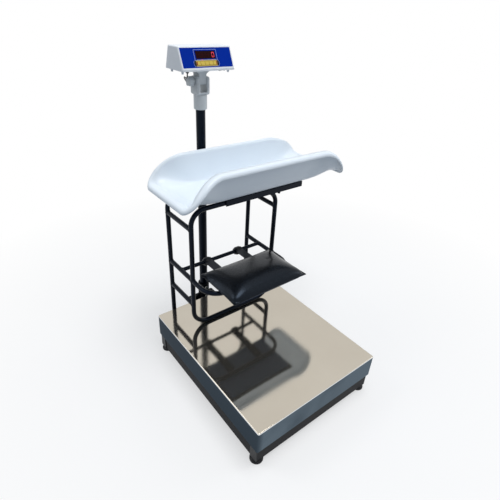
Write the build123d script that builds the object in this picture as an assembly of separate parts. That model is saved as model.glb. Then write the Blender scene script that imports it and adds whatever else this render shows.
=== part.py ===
from build123d import *
import math
import os

# Platform scale with a fold-up seat, a lift-off infant tray and a tilting display head.
# Millimetres, +X to the right, +Y to the back, +Z up from the floor.
# Working coordinates start under the middle of the platform. Each piece is
# shifted as it is written, so that the origin lies under the middle of the whole.

# Platform
PLATFORM_HEIGHT = 155.0
PAN_WIDTH = 500.0
PAN_DEPTH = 600.0
PAN_SKIRT = 85.0
PAN_SHEET = 1.5
PAN_CORNER_RADIUS = 5.0
PAN_EDGE_RADIUS = 3.0
PAN_SIDE_GAP = 4.5

# Base frame of rectangular tube
FRAME_CLEARANCE = 16.0
FRAME_TUBE_HEIGHT = 60.0
FRAME_TUBE_WIDTH = 30.0
FRAME_WALL = 2.5
FRAME_SIDE_INSET = 6.0
END_CAP_THICKNESS = 2.5
END_CAP_PLUG = 6.0
BEAM_TUBE = 30.0

# Levelling feet
FOOT_RADIUS = 21.0
FOOT_NECK_RADIUS = 12.0
FOOT_RIM_HEIGHT = 6.0
FOOT_HEIGHT = 10.4
FOOT_STUD_RADIUS = 5.0
FOOT_STUD_REACH = 36.0
FOOT_FROM_RAIL_END = 14.0
FOOT_FROM_FRAME_EDGE = 17.0
FOOT_NUT_FLATS = 17.0
FOOT_NUT_HEIGHT = 5.2
THREAD_CLEARANCE = 0.05

# Hexagon bolts of the load cell, the stops and the column clamp
BOLT_FLATS = 13.0
BOLT_HEAD = 5.3
BOLT_NUT = 6.5

# Load cell between its two plates
CELL_LENGTH = 150.0
CELL_WIDTH = 40.0
CELL_HEIGHT = 30.0
CELL_WINDOW_RADIUS = 10.0
CELL_WINDOW_SPREAD = 30.0
CELL_SLOT = 8.0
CELL_PAD_LENGTH = 40.0
LOWER_SPACER = 3.0
UPPER_SPACER = 2.5
CELL_PLATE = 6.0
CELL_PLATE_WIDTH = 110.0
CELL_PLATE_LENGTH = 110.0
CELL_BOLT_RADIUS = 4.0
CELL_BOLT_SPACING = 20.0
CELL_BOLT_DEPTH = 12.0
CELL_BOLT_FIT = 0.3

# Weigh frame and the pads under the pan
WEIGH_TUBE = 25.0
WEIGH_WALL = 2.0
WEIGH_RAIL_INSET = 25.0
WEIGH_END_GAP = 30.0
PAD_RADIUS = 11.25
PAD_FROM_RAIL_END = 20.0
STOP_RADIUS = 4.0
STOP_FROM_FRAME_EDGE = 89.0
STOP_GAP = 2.0

# Column behind the platform
COLUMN_X = 8.0
COLUMN_BEHIND_PAN = 97.0
COLUMN_RADIUS = 16.0
COLUMN_WALL = 2.0
COLUMN_FIT = 0.05
SOCKET_RADIUS = 22.5
SOCKET_HEIGHT = 85.0
SOCKET_PLATE = 6.0
SOCKET_PLATE_WIDTH = 130.0
SOCKET_PLATE_AHEAD = 61.0
SOCKET_PLATE_BEHIND = 43.0
ARM_TUBE = 30.0
ARM_SPREAD = 76.0
ARM_BELOW_SKIRT = 14.0
GUSSET_HEIGHT = 40.0
GUSSET_REACH = 34.0
GUSSET_THICKNESS = 5.0
CLAMP_BOLT_RADIUS = 4.0

# Stand of bent round tube, heights above the platform
STAND_TUBE_RADIUS = 8.0
STAND_WALL = 1.5
STAND_HALF_WIDTH = 171.0
STAND_DEPTH = 153.0
REAR_LEG_BEHIND_PAN = 24.0
STAND_TOP = 456.0
STAND_TOP_BEND = 50.0
STAND_FOOT_BEND = 62.0
STAND_SEAM = 0.4
STAND_LIFT = 0.2
WELD_GAP = 0.05
LOWER_BAR_RISE = 100.0
UPPER_BAR_RISE = 394.0
REAR_LEG_DROP = 62.0
LEG_PLUG = 3.0
ANCHOR_SHEET = 3.0
ANCHOR_WIDTH = 44.0
ANCHOR_HEIGHT = 40.0
ANCHOR_DROP = 20.0
ANCHOR_WEB = 5.0
ANCHOR_SCREW_RADIUS = 2.5
ANCHOR_SCREW_SPREAD = 28.0
ANCHOR_NUT_FLATS = 8.0
ANCHOR_NUT = 4.0

# Seat and its hinge
SEAT_RISE = 202.0
SEAT_LOOP_REACH = 111.0
SEAT_LOOP_BEND = 60.0
HINGE_AHEAD_OF_REAR_LEG = 76.0
HINGE_BAR_RADIUS = 7.0
HINGE_SLEEVE_RADIUS = 12.0
HINGE_SLEEVE_WIDTH = 30.0
HINGE_FIT = 0.08
HINGE_SPREAD = 136.0
ARM_THICKNESS = 5.0
ARM_WIDTH = 30.0
ARM_LENGTH = 172.0
ARM_RIB_SETBACK = 40.0
ARM_RIB_SHEET = 5.0
ARM_RIB_FOOT = 2.0
SEAT_REST_GAP = 0.3
SEAT_CENTRE_X = 2.0
SEAT_REACH = 185.0
SEAT_WIDTH = 300.0
SEAT_DEPTH = 196.0
BOARD_WIDTH = 276.0
BOARD_DEPTH = 172.0
BOARD_THICKNESS = 9.0
BOARD_CORNER = 12.0
CUSHION_SIDE = 12.0
CUSHION_CROWN = 26.0
CUSHION_DRAW_IN = 9.0
ARM_SCREW_RADIUS = 2.5
ARM_SCREW_FROM_END = 14.0
ARM_SCREW_STEP = 40.0
ARM_SCREW_SPREAD = 18.0

# Infant tray
TRAY_X = 118.0
TRAY_SLEEVE_GAP = 0.5
TRAY_LENGTH = 676.0
TRAY_WIDTH = 256.0
TRAY_WALL = 3.0
TRAY_FLOOR_RISE = 473.0
TRAY_END_RISE = 488.0
TRAY_RIM_RISE = 573.0
TRAY_DROP_RUN = 140.0
TRAY_FLARE = 16.0
TRAY_LIP = 14.0
TRAY_LIP_DROP = 14.0
TRAY_LIP_RADIUS = 7.0
TRAY_END_ROLL = 9.0
TRAY_ROLL_PROUD = 0.5
TRAY_ROLL_TUCK = 1.5
TRAY_END_WALL = 9.0
TRAY_LEAN = 72.0
TRAY_END_LEAN = 32.0
TRAY_ARC_SHARE = 0.6
TRAY_STATIONS = 4
TRAY_CORNER = 42.0
TRAY_CORNER_TURN = 80.0
TRAY_CORNER_STATIONS = 7
TRAY_STATION_STEP = 15.0

# Tray frame of steel angle that hooks over the stand
TRAY_FRAME_LENGTH = 330.0
ANGLE_LEG = 25.0
ANGLE_DROP = 19.0
ANGLE_SHEET = 3.0
ANGLE_GAP = 0.5
STRAP_WIDTH = 30.0
STRAP_SPREAD = 190.0
BOSS_RADIUS = 8.0
TRAY_SCREW_RADIUS = 2.5
TRAY_SCREW_SPREAD = 90.0
TRAY_SCREW_BITE = 1.0
PEG_RADIUS = 5.0
PEG_DROP = 26.0

# Pole head: sleeve and clevis
SLEEVE_RISE = 696.0
SLEEVE_RADIUS = 22.0
SLEEVE_HEIGHT = 47.0
SLEEVE_EDGE = 4.0
CLEVIS_WIDTH = 47.0
CLEVIS_DEPTH = 47.0
CLEVIS_GAP = 27.0
CLEVIS_FLOOR = 8.0
CLEVIS_TOP = 55.0
CLEVIS_EDGE = 5.0
PIVOT_RISE = 41.0
PIVOT_RADIUS = 4.0
PIVOT_FIT = 0.05
PIVOT_HEAD_FLATS = 13.0
PIVOT_HEAD_HEIGHT = 6.0
PIVOT_POCKET_FIT = 0.2
KNOB_RADIUS = 13.0
KNOB_LOBES = 5
KNOB_LOBE_RADIUS = 4.5
KNOB_THICKNESS = 16.0
KNOB_HUB_RADIUS = 8.5
KNOB_HUB = 5.0
KNOB_GAP = 0.3
KNOB_BORE = 14.6
TONGUE_DEPTH = 36.0
TONGUE_GAP = 0.3
TONGUE_BELOW = 12.0
TONGUE_CLEAR = 21.0
NECK_TOP_WIDTH = 84.0
NECK_PLATE = 4.0

# Display head
HEAD_ABOVE_PIVOT = 36.0
HEAD_WIDTH = 188.0
HEAD_HEIGHT = 66.0
HEAD_BASE_FRONT = -58.0
HEAD_BASE_REAR = 50.0
HEAD_TOP_REAR = 29.0
HEAD_LIP = 5.0
HEAD_SHEET = 2.5
HEAD_EDGE = 4.0
FACE_LEAN = 24.4
FACE_CENTRE_RISE = 36.0
OVERLAY_WIDTH = 178.0
OVERLAY_HEIGHT = 58.0
OVERLAY_SHEET = 0.5
OVERLAY_RECESS = 0.6
OVERLAY_CORNER = 2.0
WINDOW_WIDTH = 70.0
WINDOW_HEIGHT = 23.0
WINDOW_X = -4.0
WINDOW_RISE = 8.0
WINDOW_STEP = 1.0
WINDOW_THICKNESS = 1.8
KEY_COUNT = 5
KEY_PITCH = 14.6
KEY_WIDTH = 13.0
KEY_HEIGHT = 10.0
KEY_RISE = -16.5
KEY_X = -5.0
KEY_GAP = 0.25
KEY_PROUD = 1.3
KEY_TRAVEL = 0.8
KEY_FLANGE = 0.4
KEY_STEM = 3.0
BEZEL_WIDTH = 88.0
BEZEL_HEIGHT = 17.0
BEZEL_PROUD = 0.4
BOARD_DEPTH_BEHIND = 8.0
BOARD_SHEET = 1.6
BOARD_LENGTH = 150.0
BOARD_HEIGHT = 50.0
POST_RADIUS = 3.5
POST_SCREW_RADIUS = 1.25
BATTERY_LENGTH = 97.0
BATTERY_DEPTH = 24.0
BATTERY_HEIGHT = 50.0
BATTERY_Y = 13.0
COVER_SHEET = 3.0
COVER_GAP = 0.2
COVER_SCREW_RADIUS = 1.5
COVER_SCREW_BITE = 8.0
NUB_RADIUS = 4.5
NUB_TIP_RADIUS = 3.0
NUB_HEIGHT = 9.0
SWITCH_X = 58.0
SWITCH_Y = -36.0
SWITCH_WIDTH = 30.0
SWITCH_DEPTH = 14.0
SWITCH_HEIGHT = 11.0
SWITCH_FLANGE = 1.5
ROCKER_WIDTH = 20.0
ROCKER_DEPTH = 8.0
ROCKER_DROP = 9.0
ROCKER_PROUD = 2.5
ROCKER_TOP = 2.0
ROCKER_GAP = 0.3
ROCKER_TILT = 7.0
ROCKER_PIN_RADIUS = 1.5
ROCKER_PIN_REACH = 1.2
ROCKER_PIN_FIT = 0.05
CABLE_RADIUS = 2.0
GLAND_RADIUS = 5.0
GLAND_LENGTH = 7.0
GLAND_STEM_RADIUS = 3.5
GLAND_X = -64.0
GLAND_Y = -33.0
CABLE_ENTRY_Y = 15.0
CABLE_ENTRY_DZ = -14.0

# Heights and places worked out from the sizes above
FRAME_TOP = FRAME_CLEARANCE + FRAME_TUBE_HEIGHT
FRAME_HALF_X = PAN_WIDTH / 2 - FRAME_SIDE_INSET
FRAME_HALF_Y = PAN_DEPTH / 2 - PAN_SHEET - PAN_SIDE_GAP
FOOT_X = FRAME_HALF_X - FOOT_FROM_RAIL_END
FOOT_Y = FRAME_HALF_Y - FOOT_FROM_FRAME_EDGE
FOOT_STUD_TOP = FRAME_CLEARANCE + FOOT_STUD_REACH
SKIRT_BOTTOM = PLATFORM_HEIGHT - PAN_SKIRT
LOWER_PLATE_TOP = FRAME_TOP + CELL_PLATE
CELL_BOTTOM = LOWER_PLATE_TOP + LOWER_SPACER
CELL_TOP = CELL_BOTTOM + CELL_HEIGHT
UPPER_PLATE_BOTTOM = CELL_TOP + UPPER_SPACER
WEIGH_BOTTOM = UPPER_PLATE_BOTTOM + CELL_PLATE
WEIGH_TOP = WEIGH_BOTTOM + WEIGH_TUBE
WEIGH_RAIL_X = PAN_WIDTH / 2 - WEIGH_RAIL_INSET
WEIGH_RAIL_LENGTH = PAN_DEPTH - 2 * WEIGH_END_GAP
PAD_HEIGHT = PLATFORM_HEIGHT - PAN_SHEET - WEIGH_TOP
PAD_Y = WEIGH_RAIL_LENGTH / 2 - PAD_FROM_RAIL_END
STOP_Y = FRAME_HALF_Y - STOP_FROM_FRAME_EDGE
CELL_END_Y = CELL_LENGTH / 2 - CELL_PAD_LENGTH / 2
ARM_TOP = SKIRT_BOTTOM - ARM_BELOW_SKIRT
SOCKET_FLOOR = ARM_TOP + SOCKET_PLATE
SOCKET_TOP = SOCKET_FLOOR + SOCKET_HEIGHT
COLUMN_Y = PAN_DEPTH / 2 + COLUMN_BEHIND_PAN
SOCKET_PLATE_FRONT = COLUMN_Y - SOCKET_PLATE_AHEAD
SOCKET_PLATE_REAR = COLUMN_Y + SOCKET_PLATE_BEHIND
SLEEVE_BOTTOM = PLATFORM_HEIGHT + SLEEVE_RISE
CLEVIS_BOTTOM = SLEEVE_BOTTOM + SLEEVE_HEIGHT
PIVOT_Z = CLEVIS_BOTTOM + PIVOT_RISE
COLUMN_TOP = CLEVIS_BOTTOM - 1.0
HEAD_BOTTOM = PIVOT_Z + HEAD_ABOVE_PIVOT
ROCKER_Z = ROCKER_DROP - SWITCH_FLANGE - ROCKER_PROUD
STAND_REAR_Y = PAN_DEPTH / 2 + REAR_LEG_BEHIND_PAN
STAND_FRONT_Y = STAND_REAR_Y - STAND_DEPTH
SEAT_LOOP_FRONT_Y = STAND_FRONT_Y - SEAT_LOOP_REACH
HINGE_Y = STAND_REAR_Y - HINGE_AHEAD_OF_REAR_LEG
HINGE_Z = PLATFORM_HEIGHT + SEAT_RISE
ARM_FRONT_Y = HINGE_Y - ARM_LENGTH
SEAT_CENTRE_Y = HINGE_Y - SEAT_REACH
BOARD_BOTTOM = HINGE_Z + STAND_TUBE_RADIUS + SEAT_REST_GAP
BOARD_TOP = BOARD_BOTTOM + BOARD_THICKNESS
STAND_TOP_Z = PLATFORM_HEIGHT + STAND_TOP
ANGLE_BOTTOM = STAND_TOP_Z + STAND_TUBE_RADIUS + SEAT_REST_GAP
ANGLE_TOP = ANGLE_BOTTOM + ANGLE_SHEET
TRAY_FLOOR_Z = PLATFORM_HEIGHT + TRAY_FLOOR_RISE
TRAY_MIDDLE_Y = (STAND_FRONT_Y + STAND_REAR_Y) / 2
TRAY_Y = COLUMN_Y - SLEEVE_RADIUS - TRAY_SLEEVE_GAP - TRAY_WIDTH / 2

# The origin lies on the floor under the middle of the whole object
LEFT_END = min(-PAN_WIDTH / 2, -FOOT_X - FOOT_RADIUS, TRAY_X - TRAY_LENGTH / 2)
RIGHT_END = max(PAN_WIDTH / 2, FOOT_X + FOOT_RADIUS, TRAY_X + TRAY_LENGTH / 2)
FRONT_END = min(-PAN_DEPTH / 2, -FOOT_Y - FOOT_RADIUS)
REAR_END = max(COLUMN_Y + HEAD_BASE_REAR, SOCKET_PLATE_REAR)
ORIGIN = Vector((LEFT_END + RIGHT_END) / 2, (FRONT_END + REAR_END) / 2, 0)

PIECES = {}


def keep(name, *solids):
    """Stores the solids of one named piece."""
    PIECES[name] = solids


def block(x0, x1, y0, y1, z0, z1):
    """A box between two corners."""
    middle = Vector((x0 + x1) / 2, (y0 + y1) / 2, (z0 + z1) / 2)
    return Pos(middle) * Box(x1 - x0, y1 - y0, z1 - z0)


def rod(start, end, radius):
    """A round bar from one point to another."""
    start = Vector(*start)
    end = Vector(*end)
    plane = Plane(origin=start, z_dir=end - start)
    return extrude(plane * Circle(radius), (end - start).length)


def pipe(start, end, radius, wall):
    """A straight round tube, open at both ends."""
    return rod(start, end, radius) - rod(start, end, radius - wall)


def bent_pipe(path, radius, wall):
    """A round tube swept along a path of lines and arcs."""
    plane = Plane(origin=path @ 0, z_dir=path % 0)
    ring = Circle(radius) - Circle(radius - wall)
    return sweep(plane * ring, path=path)


def tube_bar_x(x0, x1, y, z0, width, height, wall):
    """A rectangular tube along X, open at its ends, standing on z0."""
    outer = block(x0, x1, y - width / 2, y + width / 2, z0, z0 + height)
    hollow = block(
        x0, x1, y - width / 2 + wall, y + width / 2 - wall, z0 + wall, z0 + height - wall
    )
    return outer - hollow


def tube_bar_y(y0, y1, x, z0, width, height, wall):
    """A rectangular tube along Y, open at its ends, standing on z0."""
    outer = block(x - width / 2, x + width / 2, y0, y1, z0, z0 + height)
    hollow = block(
        x - width / 2 + wall, x + width / 2 - wall, y0, y1, z0 + wall, z0 + height - wall
    )
    return outer - hollow


def hexagon(flats, height):
    """A hexagonal prism on the XY plane, across flats along Y."""
    return extrude(RegularPolygon(flats / 2, 6, major_radius=False), height)


def bolt(shank_radius, length, flats, head_height):
    """A hexagon bolt: the shank goes down from the origin and the head up."""
    shank = Pos(0, 0, -length / 2) * Cylinder(shank_radius, length)
    return shank + hexagon(flats, head_height)


def domed_screw(shank_radius, length):
    """A round-headed screw: the shank goes down from the origin and the head up."""
    head_radius = 1.9 * shank_radius
    head_height = 1.1 * shank_radius
    shank = Pos(0, 0, -length / 2) * Cylinder(shank_radius, length)
    head = Pos(0, 0, head_height / 2) * Cylinder(head_radius, head_height)
    top_edge = head.edges().filter_by(GeomType.CIRCLE).sort_by(Axis.Z)[-1]
    return shank + fillet(top_edge, head_height * 0.7)


def corners(half_x, half_y):
    """The four sign combinations of a place beside the middle."""
    return [(sx * half_x, sy * half_y) for sx in (-1, 1) for sy in (-1, 1)]


def build_base_frame():
    """Welded rails of rectangular tube, their caps and the beams under the load cell."""
    cross_rails = []
    caps = []
    for side in (-1, 1):
        y = side * (FRAME_HALF_Y - FRAME_TUBE_WIDTH / 2)
        rail = tube_bar_x(
            -FRAME_HALF_X, FRAME_HALF_X, y, FRAME_CLEARANCE,
            FRAME_TUBE_WIDTH, FRAME_TUBE_HEIGHT, FRAME_WALL,
        )
        for end in (-1, 1):
            stud_hole = Pos(end * FOOT_X, side * FOOT_Y, FRAME_CLEARANCE + FRAME_WALL / 2)
            rail -= stud_hole * Cylinder(FOOT_STUD_RADIUS + THREAD_CLEARANCE, 2 * FRAME_WALL)
            caps.append(end_cap(end, y))
        cross_rails.append(rail)
    keep("frame_cross_rails", *cross_rails)
    keep("rail_end_caps", *caps)

    reach = FRAME_HALF_Y - FRAME_TUBE_WIDTH
    side_rails = []
    for side in (-1, 1):
        x = side * (FRAME_HALF_X - FRAME_TUBE_WIDTH / 2)
        rail = tube_bar_y(
            -reach, reach, x, FRAME_CLEARANCE,
            FRAME_TUBE_WIDTH, FRAME_TUBE_HEIGHT, FRAME_WALL,
        )
        for end in (-1, 1):
            stop_hole = Pos(x, end * STOP_Y, FRAME_TOP - FRAME_WALL / 2)
            rail -= stop_hole * Cylinder(STOP_RADIUS + THREAD_CLEARANCE, 2 * FRAME_WALL)
        side_rails.append(rail)
    keep("frame_side_rails", *side_rails)

    beams = []
    beam_reach = FRAME_HALF_X - FRAME_TUBE_WIDTH
    for y in (BEAM_TUBE / 2, CELL_PLATE_LENGTH - BEAM_TUBE / 2):
        beams.append(
            tube_bar_x(
                -beam_reach, beam_reach, y, FRAME_TOP - BEAM_TUBE,
                BEAM_TUBE, BEAM_TUBE, FRAME_WALL,
            )
        )
    keep("cell_beams", *beams)


def end_cap(end, y):
    """A moulded cap in the open end of a cross rail."""
    face = end * FRAME_HALF_X
    outside = face + end * END_CAP_THICKNESS
    middle_z = FRAME_CLEARANCE + FRAME_TUBE_HEIGHT / 2
    plate = Pos((face + outside) / 2, y, middle_z) * Box(
        END_CAP_THICKNESS, FRAME_TUBE_WIDTH, FRAME_TUBE_HEIGHT
    )
    rim = plate.faces().sort_by(Axis.X)[-1 if end > 0 else 0].edges()
    plate = fillet(rim, END_CAP_THICKNESS * 0.6)
    plug = Pos(face - end * END_CAP_PLUG / 2, y, middle_z) * Box(
        END_CAP_PLUG,
        FRAME_TUBE_WIDTH - 2 * FRAME_WALL,
        FRAME_TUBE_HEIGHT - 2 * FRAME_WALL,
    )
    return plate + plug


def build_feet():
    """Four levelling feet: a moulded pad on a threaded stud, and the lock nuts."""
    nuts = []
    names = {
        "front_left": (-1, -1),
        "front_right": (1, -1),
        "rear_left": (-1, 1),
        "rear_right": (1, 1),
    }
    for place, (sx, sy) in names.items():
        spot = Pos(sx * FOOT_X, sy * FOOT_Y, 0)
        half = make_face(
            Polyline(
                (0, 0), (FOOT_RADIUS, 0), (FOOT_RADIUS, FOOT_RIM_HEIGHT),
                (FOOT_NECK_RADIUS, FOOT_HEIGHT), (0, FOOT_HEIGHT), (0, 0),
            )
        )
        pad = revolve(Plane.XZ * half, Axis.Z)
        rim = pad.edges().filter_by(GeomType.CIRCLE).group_by(SortBy.RADIUS)[-1]
        pad = chamfer(rim, 1.0)
        stud_bottom = FOOT_HEIGHT / 3
        bore = Pos(0, 0, (stud_bottom + FOOT_HEIGHT) / 2)
        pad -= bore * Cylinder(FOOT_STUD_RADIUS, FOOT_HEIGHT - stud_bottom)
        stud = Pos(0, 0, (stud_bottom + FOOT_STUD_TOP) / 2)
        stud = stud * Cylinder(FOOT_STUD_RADIUS, FOOT_STUD_TOP - stud_bottom)
        stud = chamfer(stud.edges().sort_by(Axis.Z)[-1], 1.0)
        keep("levelling_foot_" + place, spot * pad, spot * stud)
        nut = hexagon(FOOT_NUT_FLATS, FOOT_NUT_HEIGHT)
        nut -= Cylinder(FOOT_STUD_RADIUS + THREAD_CLEARANCE, 4 * FOOT_NUT_HEIGHT)
        nuts.append(spot * Pos(0, 0, FRAME_CLEARANCE - FOOT_NUT_HEIGHT) * nut)
    keep("foot_lock_nuts", *nuts)


def build_load_cell():
    """The load cell, its plates, spacers and bolts."""
    half_plate = CELL_PLATE_WIDTH / 2
    half_pad = CELL_PAD_LENGTH / 2
    bolt_ys = [s * CELL_BOLT_SPACING / 2 for s in (-1, 1)]
    clearance_hole = CELL_BOLT_RADIUS + CELL_BOLT_FIT
    tapped_hole = CELL_BOLT_RADIUS + THREAD_CLEARANCE

    cell = Pos(0, 0, (CELL_BOTTOM + CELL_TOP) / 2) * Box(CELL_WIDTH, CELL_LENGTH, CELL_HEIGHT)
    cell = chamfer(cell.edges().filter_by(Axis.Y), 1.0)
    across = Rot(0, 90, 0)
    middle = Pos(0, 0, (CELL_BOTTOM + CELL_TOP) / 2)
    for side in (-1, 1):
        window = Pos(0, side * CELL_WINDOW_SPREAD / 2, 0) * across
        cell -= middle * window * Cylinder(CELL_WINDOW_RADIUS, 2 * CELL_WIDTH)
    cell -= middle * Box(2 * CELL_WIDTH, CELL_WINDOW_SPREAD, CELL_SLOT)

    lower_plate = block(
        -half_plate, half_plate, 0, CELL_PLATE_LENGTH, FRAME_TOP, LOWER_PLATE_TOP
    )
    upper_plate = block(
        -half_plate, half_plate, -CELL_PLATE_LENGTH, 0, UPPER_PLATE_BOTTOM, WEIGH_BOTTOM
    )
    lower_spacer = block(
        -CELL_WIDTH / 2, CELL_WIDTH / 2, CELL_END_Y - half_pad, CELL_END_Y + half_pad,
        LOWER_PLATE_TOP, CELL_BOTTOM,
    )
    upper_spacer = block(
        -CELL_WIDTH / 2, CELL_WIDTH / 2, -CELL_END_Y - half_pad, -CELL_END_Y + half_pad,
        CELL_TOP, UPPER_PLATE_BOTTOM,
    )
    bolts = []
    for dy in bolt_ys:
        low = Pos(0, CELL_END_Y + dy, 0)
        high = Pos(0, -CELL_END_Y + dy, 0)
        low_hole = low * Pos(0, 0, CELL_BOTTOM) * Cylinder(clearance_hole, 4 * CELL_PLATE)
        high_hole = high * Pos(0, 0, CELL_TOP) * Cylinder(clearance_hole, 4 * CELL_PLATE)
        lower_plate -= low_hole
        lower_spacer -= low_hole
        upper_plate -= high_hole
        upper_spacer -= high_hole
        shank = CELL_BOLT_DEPTH + CELL_PLATE
        low_bolt = bolt(CELL_BOLT_RADIUS, shank + LOWER_SPACER, BOLT_FLATS, BOLT_HEAD)
        high_bolt = bolt(CELL_BOLT_RADIUS, shank + UPPER_SPACER, BOLT_FLATS, BOLT_HEAD)
        bolts.append(low * Pos(0, 0, FRAME_TOP) * Rot(180, 0, 0) * low_bolt)
        bolts.append(high * Pos(0, 0, WEIGH_BOTTOM) * high_bolt)
        cell -= low * Pos(0, 0, CELL_BOTTOM) * Cylinder(tapped_hole, 2 * CELL_BOLT_DEPTH)
        cell -= high * Pos(0, 0, CELL_TOP) * Cylinder(tapped_hole, 2 * CELL_BOLT_DEPTH)
    keep("load_cell", cell)
    keep("cell_plates", lower_plate, upper_plate)
    keep("cell_spacers", lower_spacer, upper_spacer)
    keep("cell_bolts", *bolts)


def build_weigh_frame():
    """The frame that the load cell carries, its rubber pads and the overload stops."""
    beams = []
    beam_reach = WEIGH_RAIL_X - WEIGH_TUBE / 2
    for y in (-WEIGH_TUBE / 2, -CELL_PLATE_LENGTH + WEIGH_TUBE / 2):
        beams.append(
            tube_bar_x(
                -beam_reach, beam_reach, y, WEIGH_BOTTOM, WEIGH_TUBE, WEIGH_TUBE, WEIGH_WALL
            )
        )
    rails = []
    for side in (-1, 1):
        rails.append(
            tube_bar_y(
                -WEIGH_RAIL_LENGTH / 2, WEIGH_RAIL_LENGTH / 2, side * WEIGH_RAIL_X,
                WEIGH_BOTTOM, WEIGH_TUBE, WEIGH_TUBE, WEIGH_WALL,
            )
        )
    keep("weigh_frame", *beams, *rails)

    pads = []
    for x, y in corners(WEIGH_RAIL_X, PAD_Y):
        pads.append(Pos(x, y, WEIGH_TOP + PAD_HEIGHT / 2) * Cylinder(PAD_RADIUS, PAD_HEIGHT))
    keep("pan_pads", *pads)

    stops = []
    stop_x = FRAME_HALF_X - FRAME_TUBE_WIDTH / 2
    stop_top = WEIGH_BOTTOM - STOP_GAP
    length = stop_top - BOLT_HEAD - FRAME_TOP + 3 * FRAME_WALL
    for x, y in corners(stop_x, STOP_Y):
        screw = bolt(STOP_RADIUS, length, BOLT_FLATS, BOLT_HEAD)
        nut = hexagon(BOLT_FLATS, BOLT_NUT)
        stop = Pos(0, 0, stop_top - BOLT_HEAD) * screw + Pos(0, 0, FRAME_TOP) * nut
        stops.append(Pos(x, y, 0) * stop)
    keep("overload_stops", *stops)


def build_column():
    """The bracket behind the base, the column tube and its clamp bolts."""
    arms = []
    for side in (-1, 1):
        arm = tube_bar_y(
            FRAME_HALF_Y, SOCKET_PLATE_REAR, COLUMN_X + side * ARM_SPREAD / 2,
            ARM_TOP - ARM_TUBE, ARM_TUBE, ARM_TUBE, FRAME_WALL,
        )
        arms.append(arm)

    half = SOCKET_PLATE_WIDTH / 2
    plate = block(
        COLUMN_X - half, COLUMN_X + half, SOCKET_PLATE_FRONT, SOCKET_PLATE_REAR,
        ARM_TOP, SOCKET_FLOOR,
    )
    plate = fillet(plate.edges().filter_by(Axis.Z), 8.0)
    axis = Pos(COLUMN_X, COLUMN_Y, 0)
    socket = Pos(0, 0, SOCKET_FLOOR + SOCKET_HEIGHT / 2) * Cylinder(SOCKET_RADIUS, SOCKET_HEIGHT)
    bracket = plate + axis * socket
    for side in (-1, 1):
        profile = make_face(
            Polyline(
                (0, 0), (GUSSET_REACH, 0), (GUSSET_REACH, GUSSET_THICKNESS),
                (0, GUSSET_HEIGHT), (0, 0),
            )
        )
        gusset = extrude(Plane.XZ * profile, GUSSET_THICKNESS / 2, both=True)
        turn = Rot(0, 0, 0) if side > 0 else Rot(0, 0, 180)
        lean = Pos(0, 0, SOCKET_FLOOR) * turn * Pos(SOCKET_RADIUS - 1.0, 0, 0)
        bracket += axis * lean * gusset
    bracket -= axis * Pos(0, 0, SOCKET_TOP) * Cylinder(
        COLUMN_RADIUS + COLUMN_FIT, 2 * SOCKET_HEIGHT
    )
    bolts = []
    for share in (0.3, 0.82):
        z = SOCKET_FLOOR + share * SOCKET_HEIGHT
        toward_front = axis * Pos(0, 0, z) * Rot(90, 0, 0)
        bracket -= toward_front * Pos(0, 0, SOCKET_RADIUS / 2) * Cylinder(
            CLAMP_BOLT_RADIUS + THREAD_CLEARANCE, SOCKET_RADIUS
        )
        grip = SOCKET_RADIUS - COLUMN_RADIUS - COLUMN_FIT
        screw = bolt(CLAMP_BOLT_RADIUS, grip, BOLT_FLATS, BOLT_HEAD)
        bolts.append(toward_front * Pos(0, 0, SOCKET_RADIUS) * screw)
    keep("column_bracket", bracket, *arms)
    keep("clamp_bolts", *bolts)

    foot = (COLUMN_X, COLUMN_Y, SOCKET_FLOOR)
    head = (COLUMN_X, COLUMN_Y, COLUMN_TOP)
    keep("column_tube", pipe(foot, head, COLUMN_RADIUS, COLUMN_WALL))


def build_pan():
    """The bright pan that lifts off: a top sheet with a deep folded skirt."""
    outer = block(
        -PAN_WIDTH / 2, PAN_WIDTH / 2, -PAN_DEPTH / 2, PAN_DEPTH / 2,
        SKIRT_BOTTOM, PLATFORM_HEIGHT,
    )
    outer = fillet(outer.edges().filter_by(Axis.Z), PAN_CORNER_RADIUS)
    outer = fillet(outer.faces().sort_by(Axis.Z)[-1].edges(), PAN_EDGE_RADIUS)
    underside = outer.faces().sort_by(Axis.Z)[0]
    pan = offset(outer, amount=-PAN_SHEET, openings=underside)
    for x, z in anchor_screw_places():
        hole = Pos(x, PAN_DEPTH / 2, z) * Rot(90, 0, 0)
        pan -= hole * Cylinder(ANCHOR_SCREW_RADIUS + THREAD_CLEARANCE, 6 * PAN_SHEET)
    keep("pan", pan)


def anchor_screw_places():
    """Where the screws of the two leg anchors pass through the skirt."""
    z = PLATFORM_HEIGHT - ANCHOR_DROP - ANCHOR_HEIGHT / 2
    places = []
    for side in (-1, 1):
        for step in (-1, 1):
            places.append((side * STAND_HALF_WIDTH + step * ANCHOR_SCREW_SPREAD / 2, z))
    return places


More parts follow.
